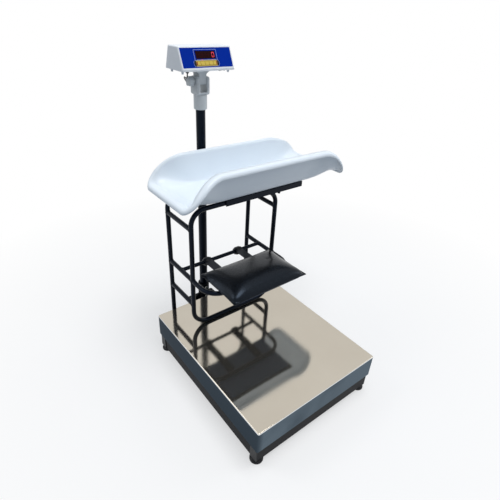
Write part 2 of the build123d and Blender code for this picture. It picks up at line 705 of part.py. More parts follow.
def build_stand():
    """The bent-tube stand: a front loop, a rear arch and the bars between them."""
    half = STAND_HALF_WIDTH
    low = PLATFORM_HEIGHT + STAND_TUBE_RADIUS + STAND_LIFT
    front_path = FilletPolyline(
        (STAND_SEAM / 2, STAND_FRONT_Y, STAND_TOP_Z),
        (half, STAND_FRONT_Y, STAND_TOP_Z),
        (half, STAND_FRONT_Y, low),
        (-half, STAND_FRONT_Y, low),
        (-half, STAND_FRONT_Y, STAND_TOP_Z),
        (-STAND_SEAM / 2, STAND_FRONT_Y, STAND_TOP_Z),
        radius=[STAND_TOP_BEND, STAND_FOOT_BEND, STAND_FOOT_BEND, STAND_TOP_BEND],
    )
    keep("stand_front_loop", bent_pipe(front_path, STAND_TUBE_RADIUS, STAND_WALL))

    leg_end = PLATFORM_HEIGHT - REAR_LEG_DROP
    rear_path = FilletPolyline(
        (-half, STAND_REAR_Y, leg_end),
        (-half, STAND_REAR_Y, STAND_TOP_Z),
        (half, STAND_REAR_Y, STAND_TOP_Z),
        (half, STAND_REAR_Y, leg_end),
        radius=[STAND_TOP_BEND, STAND_TOP_BEND],
    )
    keep("stand_rear_arch", bent_pipe(rear_path, STAND_TUBE_RADIUS, STAND_WALL))

    legs = []
    plugs = []
    anchors = []
    for side in (-1, 1):
        x = side * half
        coped = STAND_TUBE_RADIUS + WELD_GAP
        front_leg = rod((x, STAND_FRONT_Y, low), (x, STAND_FRONT_Y, STAND_TOP_Z), coped)
        rear_leg = rod((x, STAND_REAR_Y, leg_end), (x, STAND_REAR_Y, STAND_TOP_Z), coped)
        legs.append((front_leg, rear_leg))
        plug_foot = (x, STAND_REAR_Y, leg_end - LEG_PLUG)
        plug = rod(plug_foot, (x, STAND_REAR_Y, leg_end), STAND_TUBE_RADIUS)
        plug = fillet(plug.edges().sort_by(Axis.Z)[0], LEG_PLUG / 2)
        plug += rod(
            (x, STAND_REAR_Y, leg_end), (x, STAND_REAR_Y, leg_end + 3 * LEG_PLUG),
            STAND_TUBE_RADIUS - STAND_WALL - WELD_GAP,
        )
        plugs.append(plug)
        anchors.append(leg_anchor(x) - rear_leg)
    keep("leg_plugs", *plugs)
    keep("leg_anchors", *anchors)

    bars = []
    for rise in (LOWER_BAR_RISE, SEAT_RISE, UPPER_BAR_RISE):
        z = PLATFORM_HEIGHT + rise
        for (front_leg, rear_leg), side in zip(legs, (-1, 1)):
            start = (side * half, STAND_FRONT_Y, z)
            end = (side * half, STAND_REAR_Y, z)
            bar = pipe(start, end, STAND_TUBE_RADIUS, STAND_WALL)
            bar = bar - front_leg - rear_leg
            if rise == SEAT_RISE:
                bar -= hinge_bar_rod(half, HINGE_BAR_RADIUS)
            bars.append(bar)
    keep("stand_side_bars", *bars)

    loop_path = FilletPolyline(
        (-half, STAND_FRONT_Y, HINGE_Z),
        (-half, SEAT_LOOP_FRONT_Y, HINGE_Z),
        (half, SEAT_LOOP_FRONT_Y, HINGE_Z),
        (half, STAND_FRONT_Y, HINGE_Z),
        radius=[SEAT_LOOP_BEND, SEAT_LOOP_BEND],
    )
    loop = bent_pipe(loop_path, STAND_TUBE_RADIUS, STAND_WALL)
    keep("seat_loop", loop - legs[0][0] - legs[1][0])
    keep("hinge_bar", hinge_bar_rod(half, HINGE_BAR_RADIUS))

    screws = []
    for x, z in anchor_screw_places():
        out = Pos(x, PAN_DEPTH / 2 + ANCHOR_SHEET, z) * Rot(-90, 0, 0)
        grip = ANCHOR_SHEET + PAN_SHEET
        screw = domed_screw(ANCHOR_SCREW_RADIUS, grip + 2 * ANCHOR_NUT)
        nut = Pos(0, 0, -grip - ANCHOR_NUT) * hexagon(ANCHOR_NUT_FLATS, ANCHOR_NUT)
        screws.append(out * (screw + nut))
    keep("anchor_screws", *screws)


def hinge_bar_rod(half, radius):
    """The bar across the stand that the seat turns on."""
    inner = half - STAND_TUBE_RADIUS + STAND_WALL
    return rod((-inner, HINGE_Y, HINGE_Z), (inner, HINGE_Y, HINGE_Z), radius)


def leg_anchor(x):
    """A welded tee that holds one rear leg to the back of the skirt."""
    back = PAN_DEPTH / 2
    top = PLATFORM_HEIGHT - ANCHOR_DROP
    bottom = top - ANCHOR_HEIGHT
    flange = block(
        x - ANCHOR_WIDTH / 2, x + ANCHOR_WIDTH / 2, back, back + ANCHOR_SHEET, bottom, top
    )
    flange = fillet(flange.edges().filter_by(Axis.Y), 5.0)
    web = block(
        x - ANCHOR_WEB / 2, x + ANCHOR_WEB / 2, back + ANCHOR_SHEET, STAND_REAR_Y, bottom, top
    )
    anchor = flange + web
    for hole_x, hole_z in anchor_screw_places():
        hole = Pos(hole_x, back, hole_z) * Rot(90, 0, 0)
        anchor -= hole * Cylinder(ANCHOR_SCREW_RADIUS + THREAD_CLEARANCE, 4 * ANCHOR_SHEET)
    return anchor


def build_seat():
    """The fold-up seat: hinge arms, plywood board and crowned cushion."""
    hinge_xs = [SEAT_CENTRE_X + s * HINGE_SPREAD / 2 for s in (-1, 1)]
    arm_top = BOARD_BOTTOM
    arm_bottom = arm_top - ARM_THICKNESS
    arm_middle = arm_top - ARM_THICKNESS / 2
    screw_hole = ARM_SCREW_RADIUS + THREAD_CLEARANCE
    arms = []
    screws = []
    board = block(
        SEAT_CENTRE_X - BOARD_WIDTH / 2, SEAT_CENTRE_X + BOARD_WIDTH / 2,
        SEAT_CENTRE_Y - BOARD_DEPTH / 2, SEAT_CENTRE_Y + BOARD_DEPTH / 2,
        BOARD_BOTTOM, BOARD_TOP,
    )
    board = fillet(board.edges().filter_by(Axis.Z), BOARD_CORNER)
    for x in hinge_xs:
        half = HINGE_SLEEVE_WIDTH / 2
        sleeve_ends = ((x - half, HINGE_Y, HINGE_Z), (x + half, HINGE_Y, HINGE_Z))
        sleeve = rod(*sleeve_ends, HINGE_SLEEVE_RADIUS)
        arm = block(x - ARM_WIDTH / 2, x + ARM_WIDTH / 2, ARM_FRONT_Y, HINGE_Y, arm_bottom, arm_top)
        front_edges = arm.edges().filter_by(Axis.Z).sort_by(Axis.Y)[:2]
        arm = fillet(front_edges, ARM_WIDTH * 0.4)
        rib = make_face(
            Polyline(
                (HINGE_Y, HINGE_Z - HINGE_SLEEVE_RADIUS),
                (HINGE_Y, arm_middle),
                (ARM_FRONT_Y + ARM_RIB_SETBACK, arm_middle),
                (ARM_FRONT_Y + ARM_RIB_SETBACK, arm_bottom - ARM_RIB_FOOT),
                (HINGE_Y - 2.2 * HINGE_SLEEVE_RADIUS, HINGE_Z - 0.67 * HINGE_SLEEVE_RADIUS),
                (HINGE_Y, HINGE_Z - HINGE_SLEEVE_RADIUS),
            )
        )
        rib = Pos(x, 0, 0) * extrude(Plane.YZ * rib, ARM_RIB_SHEET / 2, both=True)
        arm = arm + sleeve + rib
        arm -= rod(
            (x - 2 * half, HINGE_Y, HINGE_Z), (x + 2 * half, HINGE_Y, HINGE_Z),
            HINGE_BAR_RADIUS + HINGE_FIT,
        )
        length = ARM_THICKNESS + BOARD_THICKNESS * 0.7
        screw_middle = ARM_FRONT_Y + ARM_SCREW_FROM_END + ARM_SCREW_STEP / 2
        for dx, dy in corners(ARM_SCREW_SPREAD / 2, ARM_SCREW_STEP / 2):
            place = Pos(x + dx, screw_middle + dy, arm_bottom)
            screws.append(place * Rot(180, 0, 0) * domed_screw(ARM_SCREW_RADIUS, length))
            hole = place * Pos(0, 0, length / 2) * Cylinder(screw_hole, length)
            arm -= hole
            board -= hole
        arms.append(arm)
    keep("seat_arms", *arms)
    keep("seat_board", board)
    keep("seat_screws", *screws)
    keep("seat_cushion", cushion())


def cushion_outline(z, scale, draw_in):
    """A four-cornered outline with sides that draw in between the corners."""
    half_x = SEAT_WIDTH / 2 * scale
    half_y = SEAT_DEPTH / 2 * scale
    spots = [(-half_x, -half_y), (half_x, -half_y), (half_x, half_y), (-half_x, half_y)]
    mids = [
        (0, -half_y + draw_in),
        (half_x - draw_in, 0),
        (0, half_y - draw_in),
        (-half_x + draw_in, 0),
    ]
    edges = []
    for index in range(4):
        start = spots[index]
        end = spots[(index + 1) % 4]
        edges.append(ThreePointArc((*start, 0), (*mids[index], 0), (*end, 0)))
    return Pos(SEAT_CENTRE_X, SEAT_CENTRE_Y, z) * make_face(edges)


def cushion():
    """A stuffed cushion: a flat base, a pointed seam line and a crown."""
    base = BOARD_TOP
    seam = base + CUSHION_SIDE * 0.4
    crown = base + CUSHION_SIDE + CUSHION_CROWN
    lower = loft([
        cushion_outline(base, 0.95, CUSHION_DRAW_IN * 0.6),
        cushion_outline(seam, 1.0, CUSHION_DRAW_IN),
    ])
    upper = loft([
        cushion_outline(seam, 1.0, CUSHION_DRAW_IN),
        cushion_outline(seam + 0.42 * (crown - seam), 0.93, CUSHION_DRAW_IN * 0.5),
        cushion_outline(seam + 0.78 * (crown - seam), 0.76, CUSHION_DRAW_IN * 0.2),
        cushion_outline(crown, 0.42, -CUSHION_DRAW_IN * 0.3),
    ])
    return lower + upper


def tray_station(d):
    """Floor height, rim height, half width and wall lean at a distance from the end."""
    turn = math.pi / 2 * min(max(d, 0.0) / TRAY_DROP_RUN, 1.0)
    share = math.sin(turn)
    end_z = PLATFORM_HEIGHT + TRAY_END_RISE
    rim = end_z + (TRAY_RIM_RISE - TRAY_END_RISE) * share
    floor = end_z - TRAY_END_WALL - (TRAY_END_RISE - TRAY_END_WALL - TRAY_FLOOR_RISE) * share
    half = TRAY_WIDTH / 2 + TRAY_FLARE * math.sin(math.pi * share) - corner_inset(d)
    lean = TRAY_END_LEAN + (TRAY_LEAN - TRAY_END_LEAN) * share
    return floor, rim, half, lean


def corner_inset(d):
    """How far the rounded corner draws the edge in, at a distance from the end."""
    from_end = max(d - TRAY_ROLL_PROUD, 0.0)
    away = max(math.sin(math.radians(TRAY_CORNER_TURN)) - from_end / TRAY_CORNER, 0.0)
    return TRAY_CORNER * (1 - math.sqrt(1 - away**2))


def tray_curve(x):
    """The inside of the tray at one place: a flat floor, an arc and a leaning wall."""
    floor, rim, half, lean = tray_station(TRAY_LENGTH / 2 - abs(x))
    angle = math.radians(lean)
    height = rim - floor
    inner = half - TRAY_LIP
    radius = TRAY_ARC_SHARE * height / (1 - math.cos(angle))
    wall_run = (1 - TRAY_ARC_SHARE) * height / math.tan(angle)
    flat = inner - wall_run - radius * math.sin(angle)

    def on_arc(reach, turn):
        return flat + reach * math.sin(turn), floor + radius - reach * math.cos(turn)

    return floor, rim, inner, flat, radius, angle, on_arc


def tray_hollow():
    """The space inside the level middle of the tray."""
    floor, rim, inner, flat, radius, angle, on_arc = tray_curve(0.0)
    right = [
        ("arc", (flat, floor), on_arc(radius, angle / 2), on_arc(radius, angle)),
        ("line", on_arc(radius, angle), (inner, rim)),
    ]
    shapes = [tray_edge("line", [(flat, floor), (-flat, floor)], 1)]
    shapes.append(tray_edge("line", [(inner, rim), (-inner, rim)], 1))
    for kind, *points in right:
        shapes.append(tray_edge(kind, points, 1))
        shapes.append(tray_edge(kind, points, -1))
    reach = TRAY_LENGTH / 2 - TRAY_DROP_RUN
    section = Pos(TRAY_X, TRAY_Y, 0) * make_face(shapes)
    return extrude(section, reach, both=True)


def tray_section(x, thickness):
    """The closed outline of the tray's shell at one place along its length."""
    floor, rim, inner, flat, radius, angle, on_arc = tray_curve(x)
    sheet = TRAY_WALL
    outer = radius + thickness
    wall_foot = on_arc(outer, angle)
    flange = rim - sheet
    under = wall_foot[0] + (flange - wall_foot[1]) / math.tan(angle)
    edge = inner + TRAY_LIP
    right = [
        ("line", (flat, floor), (-flat, floor)),
        ("arc", (flat, floor), on_arc(radius, angle / 2), on_arc(radius, angle)),
        ("line", on_arc(radius, angle), (inner, rim)),
        ("line", (inner, rim), (edge - TRAY_LIP_RADIUS, rim)),
        (
            "arc",
            (edge - TRAY_LIP_RADIUS, rim),
            (
                edge - TRAY_LIP_RADIUS * (1 - math.sqrt(0.5)),
                rim - TRAY_LIP_RADIUS * (1 - math.sqrt(0.5)),
            ),
            (edge, rim - TRAY_LIP_RADIUS),
        ),
        ("line", (edge, rim - TRAY_LIP_RADIUS), (edge, rim - TRAY_LIP_DROP)),
        ("line", (edge, rim - TRAY_LIP_DROP), (edge - sheet, rim - TRAY_LIP_DROP)),
        ("line", (edge - sheet, rim - TRAY_LIP_DROP), (edge - sheet, flange)),
        ("line", (edge - sheet, flange), (under, flange)),
        ("line", (under, flange), wall_foot),
        ("arc", wall_foot, on_arc(outer, angle / 2), (flat, floor - thickness)),
        ("line", (flat, floor - thickness), (-flat, floor - thickness)),
    ]
    shapes = []
    for kind, *points in right:
        shapes.append(tray_edge(kind, points, 1))
    for kind, *points in right[1:-1]:
        shapes.append(tray_edge(kind, points, -1))
    return Pos(TRAY_X + x, TRAY_Y, 0) * make_face(shapes)


def end_roll(side):
    """The rolled edge across one end of the tray, between its rounded corners."""
    half = TRAY_WIDTH / 2 - corner_inset(0.0) - TRAY_ROLL_TUCK
    top = PLATFORM_HEIGHT + TRAY_END_RISE
    outer = side * TRAY_LENGTH / 2
    inner = outer - side * TRAY_END_ROLL
    roll = block(min(inner, outer), max(inner, outer), -half, half, top - TRAY_LIP_DROP, top)
    rims = roll.edges().filter_by(Axis.Y).group_by(Axis.Z)[-1].sort_by(Axis.X)
    roll = fillet(rims[-1 if side > 0 else 0], TRAY_LIP_RADIUS * 0.9)
    return Pos(TRAY_X, TRAY_Y, 0) * roll


def tray_edge(kind, points, side):
    """One edge of a tray section, mirrored to the other side when side is -1."""
    places = [(0, side * v, z) for v, z in points]
    if kind == "arc":
        return ThreePointArc(*places)
    return Line(*places)


def build_tray():
    """The moulded infant tray and the screws and frame that carry it."""
    knee = TRAY_LENGTH / 2 - TRAY_DROP_RUN
    full_turn = math.radians(TRAY_CORNER_TURN)
    corner = TRAY_LENGTH / 2 - TRAY_ROLL_PROUD - TRAY_CORNER * math.sin(full_turn)
    level = knee - 2 * TRAY_STATION_STEP
    shares = [index / TRAY_STATIONS for index in range(TRAY_STATIONS)]
    steps = [level, level + TRAY_STATION_STEP]
    steps += [knee + share * (corner - knee) for share in shares]
    for index in range(TRAY_CORNER_STATIONS + 1):
        turn = full_turn * index / TRAY_CORNER_STATIONS
        steps.append(corner + TRAY_CORNER * math.sin(turn))
    shell = extrude(tray_section(-level, TRAY_WALL), 2 * level, dir=(1, 0, 0))
    for side in (-1, 1):
        shell += loft([tray_section(side * x, TRAY_WALL) for x in steps])
        shell += end_roll(side)
    boss_top = TRAY_FLOOR_Z + 4 * TRAY_WALL
    hollow = tray_hollow()
    screws = []
    for x, y in corners(STRAP_SPREAD / 2, TRAY_SCREW_SPREAD / 2):
        spot = Pos(TRAY_X + x, TRAY_MIDDLE_Y + y, 0)
        boss = Pos(0, 0, (ANGLE_TOP + boss_top) / 2)
        boss = boss * Cylinder(BOSS_RADIUS, boss_top - ANGLE_TOP)
        shell += spot * boss - hollow
        length = ANGLE_SHEET + (TRAY_FLOOR_Z - ANGLE_TOP) + TRAY_SCREW_BITE
        hole_radius = TRAY_SCREW_RADIUS + THREAD_CLEARANCE
        hole = Pos(0, 0, ANGLE_BOTTOM + length / 2) * Cylinder(hole_radius, length)
        shell -= spot * hole
        screw = domed_screw(TRAY_SCREW_RADIUS, length)
        screws.append(spot * Pos(0, 0, ANGLE_BOTTOM) * Rot(180, 0, 0) * screw)
    keep("tray", shell)
    keep("tray_screws", *screws)
    build_tray_frame()


def build_tray_frame():
    """Two steel angles that hook over the stand, joined by two flat straps."""
    x0 = TRAY_X - TRAY_FRAME_LENGTH / 2
    x1 = TRAY_X + TRAY_FRAME_LENGTH / 2
    reach = (STAND_REAR_Y - STAND_FRONT_Y) / 2 + STAND_TUBE_RADIUS + ANGLE_GAP
    peg_x = STAND_HALF_WIDTH + STAND_TUBE_RADIUS + ANGLE_GAP + PEG_RADIUS
    frame = []
    for side in (-1, 1):
        inside = TRAY_MIDDLE_Y + side * reach
        outside = inside + side * ANGLE_SHEET
        toe = outside - side * ANGLE_LEG
        web = block(
            x0, x1, min(inside, outside), max(inside, outside), ANGLE_TOP - ANGLE_DROP, ANGLE_TOP
        )
        flat = block(x0, x1, min(toe, outside), max(toe, outside), ANGLE_BOTTOM, ANGLE_TOP)
        peg_y = TRAY_MIDDLE_Y + side * (STAND_REAR_Y - STAND_FRONT_Y) / 2
        peg = Pos(peg_x, peg_y, ANGLE_BOTTOM - PEG_DROP / 2) * Cylinder(PEG_RADIUS, PEG_DROP)
        peg = fillet(peg.edges().sort_by(Axis.Z)[0], 2.0)
        frame.append(web + flat + peg)
    inner = reach + ANGLE_SHEET - ANGLE_LEG
    straps = []
    for side in (-1, 1):
        x = TRAY_X + side * STRAP_SPREAD / 2
        strap = block(
            x - STRAP_WIDTH / 2, x + STRAP_WIDTH / 2,
            TRAY_MIDDLE_Y - inner, TRAY_MIDDLE_Y + inner, ANGLE_BOTTOM, ANGLE_TOP,
        )
        for step in (-1, 1):
            hole = Pos(x, TRAY_MIDDLE_Y + step * TRAY_SCREW_SPREAD / 2, ANGLE_BOTTOM)
            strap -= hole * Cylinder(TRAY_SCREW_RADIUS + 0.2, 4 * ANGLE_SHEET)
        straps.append(strap)
    keep("tray_frame", *frame, *straps)


def build_pole_head():
    """The moulded sleeve and clevis on top of the column, its screw and knob."""
    at = Pos(COLUMN_X, COLUMN_Y, 0)
    sleeve = Pos(0, 0, SLEEVE_BOTTOM + SLEEVE_HEIGHT / 2) * Cylinder(SLEEVE_RADIUS, SLEEVE_HEIGHT)
    sleeve = fillet(sleeve.edges().sort_by(Axis.Z)[0], SLEEVE_EDGE)
    clevis = Pos(0, 0, CLEVIS_BOTTOM + CLEVIS_TOP / 2) * Box(CLEVIS_WIDTH, CLEVIS_DEPTH, CLEVIS_TOP)
    clevis = fillet(clevis.edges().filter_by(Axis.X), CLEVIS_EDGE * 1.6)
    clevis = fillet(clevis.edges().filter_by(Axis.Z), CLEVIS_EDGE)
    head = sleeve + clevis
    head -= Pos(0, 0, SLEEVE_BOTTOM - 1 + SLEEVE_HEIGHT / 2) * Cylinder(
        COLUMN_RADIUS + COLUMN_FIT, SLEEVE_HEIGHT + 2
    )
    slot_height = CLEVIS_TOP - CLEVIS_FLOOR
    slot = Pos(0, 0, CLEVIS_BOTTOM + CLEVIS_FLOOR + slot_height)
    head -= slot * Box(CLEVIS_GAP, 2 * CLEVIS_DEPTH, 2 * slot_height)
    pivot = Pos(0, 0, PIVOT_Z)
    across = Rot(0, 90, 0)
    head -= pivot * across * Cylinder(PIVOT_RADIUS + PIVOT_FIT, 2 * CLEVIS_WIDTH)
    pocket_floor = CLEVIS_WIDTH / 2 - PIVOT_HEAD_HEIGHT
    pocket = Pos(pocket_floor, 0, 0) * across
    head -= pivot * pocket * hexagon(PIVOT_HEAD_FLATS + PIVOT_POCKET_FIT, 2 * PIVOT_HEAD_HEIGHT)
    cable_hole = Pos(-CLEVIS_WIDTH / 2, CABLE_ENTRY_Y, CABLE_ENTRY_DZ)
    head -= pivot * cable_hole * across * Cylinder(CABLE_RADIUS, 6.0)
    keep("pole_head", at * head)

    hub_start = -CLEVIS_WIDTH / 2 - KNOB_GAP
    bolt_end = hub_start - KNOB_BORE + KNOB_GAP
    shank = pocket_floor - bolt_end
    keep("tilt_bolt", at * pivot * pocket * bolt(PIVOT_RADIUS, shank, PIVOT_HEAD_FLATS, PIVOT_HEAD_HEIGHT))

    knob = Circle(KNOB_RADIUS)
    for index in range(KNOB_LOBES):
        turn = Rot(0, 0, 360 / KNOB_LOBES * index)
        knob += turn * Pos(KNOB_RADIUS - 2.0, 0) * Circle(KNOB_LOBE_RADIUS)
    grip = extrude(knob, KNOB_THICKNESS)
    grip = fillet(grip.faces().sort_by(Axis.Z)[-1].edges(), 1.5)
    hub = Cylinder(KNOB_HUB_RADIUS, KNOB_HUB, align=(Align.CENTER, Align.CENTER, Align.MIN))
    grip = Pos(0, 0, KNOB_HUB) * grip + hub
    grip -= Pos(0, 0, KNOB_BORE / 2) * Cylinder(PIVOT_RADIUS + PIVOT_FIT, KNOB_BORE)
    toward_left = Rot(0, -90, 0)
    keep("tilt_knob", at * pivot * Pos(hub_start, 0, 0) * toward_left * grip)


def build_neck():
    """The flared tongue that joins the head to the clevis."""
    at = Pos(COLUMN_X, COLUMN_Y, PIVOT_Z)
    half = CLEVIS_GAP / 2 - TONGUE_GAP
    top = HEAD_ABOVE_PIVOT
    flare_top = top - NECK_PLATE
    wide = NECK_TOP_WIDTH / 2
    bend = flare_top - TONGUE_CLEAR
    edges = []
    for side in (-1, 1):
        edges.append(Line((side * half, -TONGUE_BELOW), (side * half, TONGUE_CLEAR)))
        edges.append(
            ThreePointArc(
                (side * half, TONGUE_CLEAR),
                (side * (half + 0.32 * (wide - half)), TONGUE_CLEAR + 0.66 * bend),
                (side * wide, flare_top),
            )
        )
        edges.append(Line((side * wide, flare_top), (side * wide, top)))
    edges.append(Line((-half, -TONGUE_BELOW), (half, -TONGUE_BELOW)))
    edges.append(Line((-wide, top), (wide, top)))
    neck = extrude(Plane.XZ * make_face(edges), TONGUE_DEPTH / 2, both=True)
    lower = neck.edges().filter_by(Axis.X).group_by(Axis.Z)[0]
    neck = fillet(lower, TONGUE_BELOW * 0.8)
    neck -= Rot(0, 90, 0) * Cylinder(PIVOT_RADIUS + PIVOT_FIT, 4 * half)
    screws = []
    for x, y in corners(wide * 0.78, TONGUE_DEPTH * 0.28):
        length = NECK_PLATE + COVER_SHEET + 3.0
        spot = Pos(x, y, flare_top - 1.2)
        neck -= spot * Pos(0, 0, -4.0) * Cylinder(4.2, 8.0)
        neck -= spot * Cylinder(1.75, 4 * NECK_PLATE)
        screws.append(at * spot * Rot(180, 0, 0) * domed_screw(COVER_SCREW_RADIUS, length))
    keep("head_neck", at * neck)
    return screws


def face_plane():
    """The plane of the head's leaning front, centred on the overlay."""
    lean = math.radians(FACE_LEAN)
    y = HEAD_BASE_FRONT + (FACE_CENTRE_RISE - HEAD_LIP) * math.tan(lean)
    origin = (COLUMN_X, COLUMN_Y + y, HEAD_BOTTOM + FACE_CENTRE_RISE)
    normal = (0, -math.cos(lean), math.sin(lean))
    return Plane(origin=origin, x_dir=(1, 0, 0), z_dir=normal)


def head_outline():
    """The side view of the head, leaning at the front and at the back."""
    lean = math.radians(FACE_LEAN)
    top_front = HEAD_BASE_FRONT + (HEAD_HEIGHT - HEAD_LIP) * math.tan(lean)
    return make_face(
        Polyline(
            (HEAD_BASE_FRONT, 0), (HEAD_BASE_FRONT, HEAD_LIP), (top_front, HEAD_HEIGHT),
            (HEAD_TOP_REAR, HEAD_HEIGHT), (HEAD_BASE_REAR, 0), (HEAD_BASE_FRONT, 0),
        )
    )


def build_head(neck_screws):
    """The display head: housing, cover, overlay, window, keys, board and battery."""
    at = Pos(COLUMN_X, COLUMN_Y, HEAD_BOTTOM)
    body = extrude(Plane.YZ * head_outline(), HEAD_WIDTH / 2, both=True)
    rims = body.edges() - body.faces().sort_by(Axis.Z)[0].edges()
    lip = [edge for edge in rims if abs(edge.center().Z - HEAD_LIP) < 0.1]
    rims = [edge for edge in rims if edge not in lip]
    body = fillet(rims, HEAD_EDGE)
    underside = body.faces().sort_by(Axis.Z)[0]
    shell = at * offset(body, amount=-HEAD_SHEET, openings=underside)

    front = face_plane()
    overlay_blank = Rectangle(OVERLAY_WIDTH, OVERLAY_HEIGHT)
    overlay_blank = fillet(overlay_blank.vertices(), OVERLAY_CORNER)
    recess = extrude(front * overlay_blank, -OVERLAY_RECESS)
    shell -= recess
    window_at = Pos(WINDOW_X, WINDOW_RISE)
    bezel_at = Pos(KEY_X, KEY_RISE)
    window_hole = window_at * Rectangle(
        WINDOW_WIDTH + 2 * WINDOW_STEP, WINDOW_HEIGHT + 2 * WINDOW_STEP
    )
    keys_width = (KEY_COUNT - 1) * KEY_PITCH + KEY_WIDTH
    key_hole = bezel_at * Rectangle(keys_width + 4 * KEY_FLANGE + 1.0, KEY_HEIGHT + 4 * KEY_FLANGE)
    shell -= extrude(front * window_hole, -3 * HEAD_SHEET)
    shell -= extrude(front * key_hole, -3 * HEAD_SHEET)

    bezel_blank = fillet(Rectangle(BEZEL_WIDTH, BEZEL_HEIGHT).vertices(), BEZEL_HEIGHT * 0.4)
    overlay = overlay_blank - window_at * Rectangle(WINDOW_WIDTH, WINDOW_HEIGHT)
    overlay = overlay - bezel_at * bezel_blank
    floor = front.offset(-OVERLAY_RECESS)
    keep("overlay", extrude(floor * overlay, OVERLAY_SHEET))

    lens = window_at * Rectangle(WINDOW_WIDTH - 0.2, WINDOW_HEIGHT - 0.2)
    lens_flange = window_at * Rectangle(
        WINDOW_WIDTH + 2 * WINDOW_STEP - 0.2, WINDOW_HEIGHT + 2 * WINDOW_STEP - 0.2
    )
    window = extrude(floor * lens, OVERLAY_SHEET) + extrude(floor * lens_flange, -WINDOW_THICKNESS)
    keep("display_window", window)

    bezel = bezel_at * bezel_blank
    for place in key_places():
        bezel -= place * Rectangle(KEY_WIDTH + 2 * KEY_GAP, KEY_HEIGHT + 2 * KEY_GAP)
    keep("key_bezel", extrude(floor * bezel, OVERLAY_RECESS + BEZEL_PROUD))
    for index, place in enumerate(key_places(), start=1):
        keep("key_" + str(index), key_cap(front, place))

    board_face = front.offset(-BOARD_DEPTH_BEHIND)
    posts, post_screws = board_posts(front, board_face)
    for post in posts:
        shell += post
    board = extrude(board_face * Rectangle(BOARD_LENGTH, BOARD_HEIGHT), -BOARD_SHEET)
    for x, y in board_post_spots():
        drill = board_face * Pos(x, y) * Circle(POST_SCREW_RADIUS + THREAD_CLEARANCE)
        board -= extrude(drill, -2 * BOARD_SHEET)
        shell -= extrude(drill, BOARD_DEPTH_BEHIND - HEAD_SHEET - 0.5)
    keep("display_board", board)
    module_height = BOARD_DEPTH_BEHIND - OVERLAY_RECESS - WINDOW_THICKNESS - 0.3
    module = board_face * window_at * Rectangle(WINDOW_WIDTH - 2.0, WINDOW_HEIGHT - 2.0)
    keep("led_module", extrude(module, module_height))
    switch_height = BOARD_DEPTH_BEHIND - KEY_STEM - KEY_TRAVEL - 0.05
    domes = []
    for place in key_places():
        domes.append(extrude(board_face * place * Rectangle(6.0, 6.0), switch_height))
    keep("key_switches", *domes)

    cover_screws = build_cover(at, shell)
    keep("head_screws", *post_screws, *cover_screws, *neck_screws)


def key_places():
    """Where the keys sit on the face plane, from left to right."""
    first = KEY_X - (KEY_COUNT - 1) * KEY_PITCH / 2
    return [Pos(first + index * KEY_PITCH, KEY_RISE) for index in range(KEY_COUNT)]


def key_cap(front, place):
    """One key: a cap with rounded corners and a retaining flange behind the bezel."""
    outline = fillet(Rectangle(KEY_WIDTH, KEY_HEIGHT).vertices(), 1.2)
    cap = extrude(outline, KEY_PROUD + KEY_STEM)
    top = cap.faces().sort_by(Axis.Z)[-1]
    cap = Pos(0, 0, -KEY_STEM) * fillet(top.edges(), 0.5)
    flange_top = -OVERLAY_RECESS - 0.1
    grow = 2 * KEY_FLANGE + 2 * KEY_GAP
    flange = Rectangle(KEY_WIDTH + grow, KEY_HEIGHT + grow)
    cap += Pos(0, 0, flange_top - 0.8) * extrude(flange, 0.8)
    return front.location * place * cap


def board_post_spots():
    """Where the posts meet the display board, in the face plane."""
    return corners(BOARD_LENGTH / 2 - 6.0, BOARD_HEIGHT / 2 - 5.0)


def board_posts(front, board_face):
    """Posts from the front wall to the display board, and their screws."""
    posts = []
    screws = []
    wall = front.offset(-HEAD_SHEET + 0.5)
    length = BOARD_DEPTH_BEHIND - HEAD_SHEET + 0.5
    back = board_face.offset(-BOARD_SHEET)
    for x, y in board_post_spots():
        posts.append(extrude(wall * Pos(x, y) * Circle(POST_RADIUS), -length))
        screw = domed_screw(POST_SCREW_RADIUS, BOARD_SHEET + length - 1.5)
        screws.append(back.location * Pos(x, y) * Rot(180, 0, 0) * screw)
    return posts, screws


def cover_boss_spots():
    """Where the base cover is screwed to the housing, around the column axis."""
    x = HEAD_WIDTH / 2 - HEAD_SHEET - 5.0
    return [
        (sx * x, y)
        for sx in (-1, 1)
        for y in (HEAD_BASE_FRONT + 12.0, HEAD_BASE_REAR - 12.0)
    ]


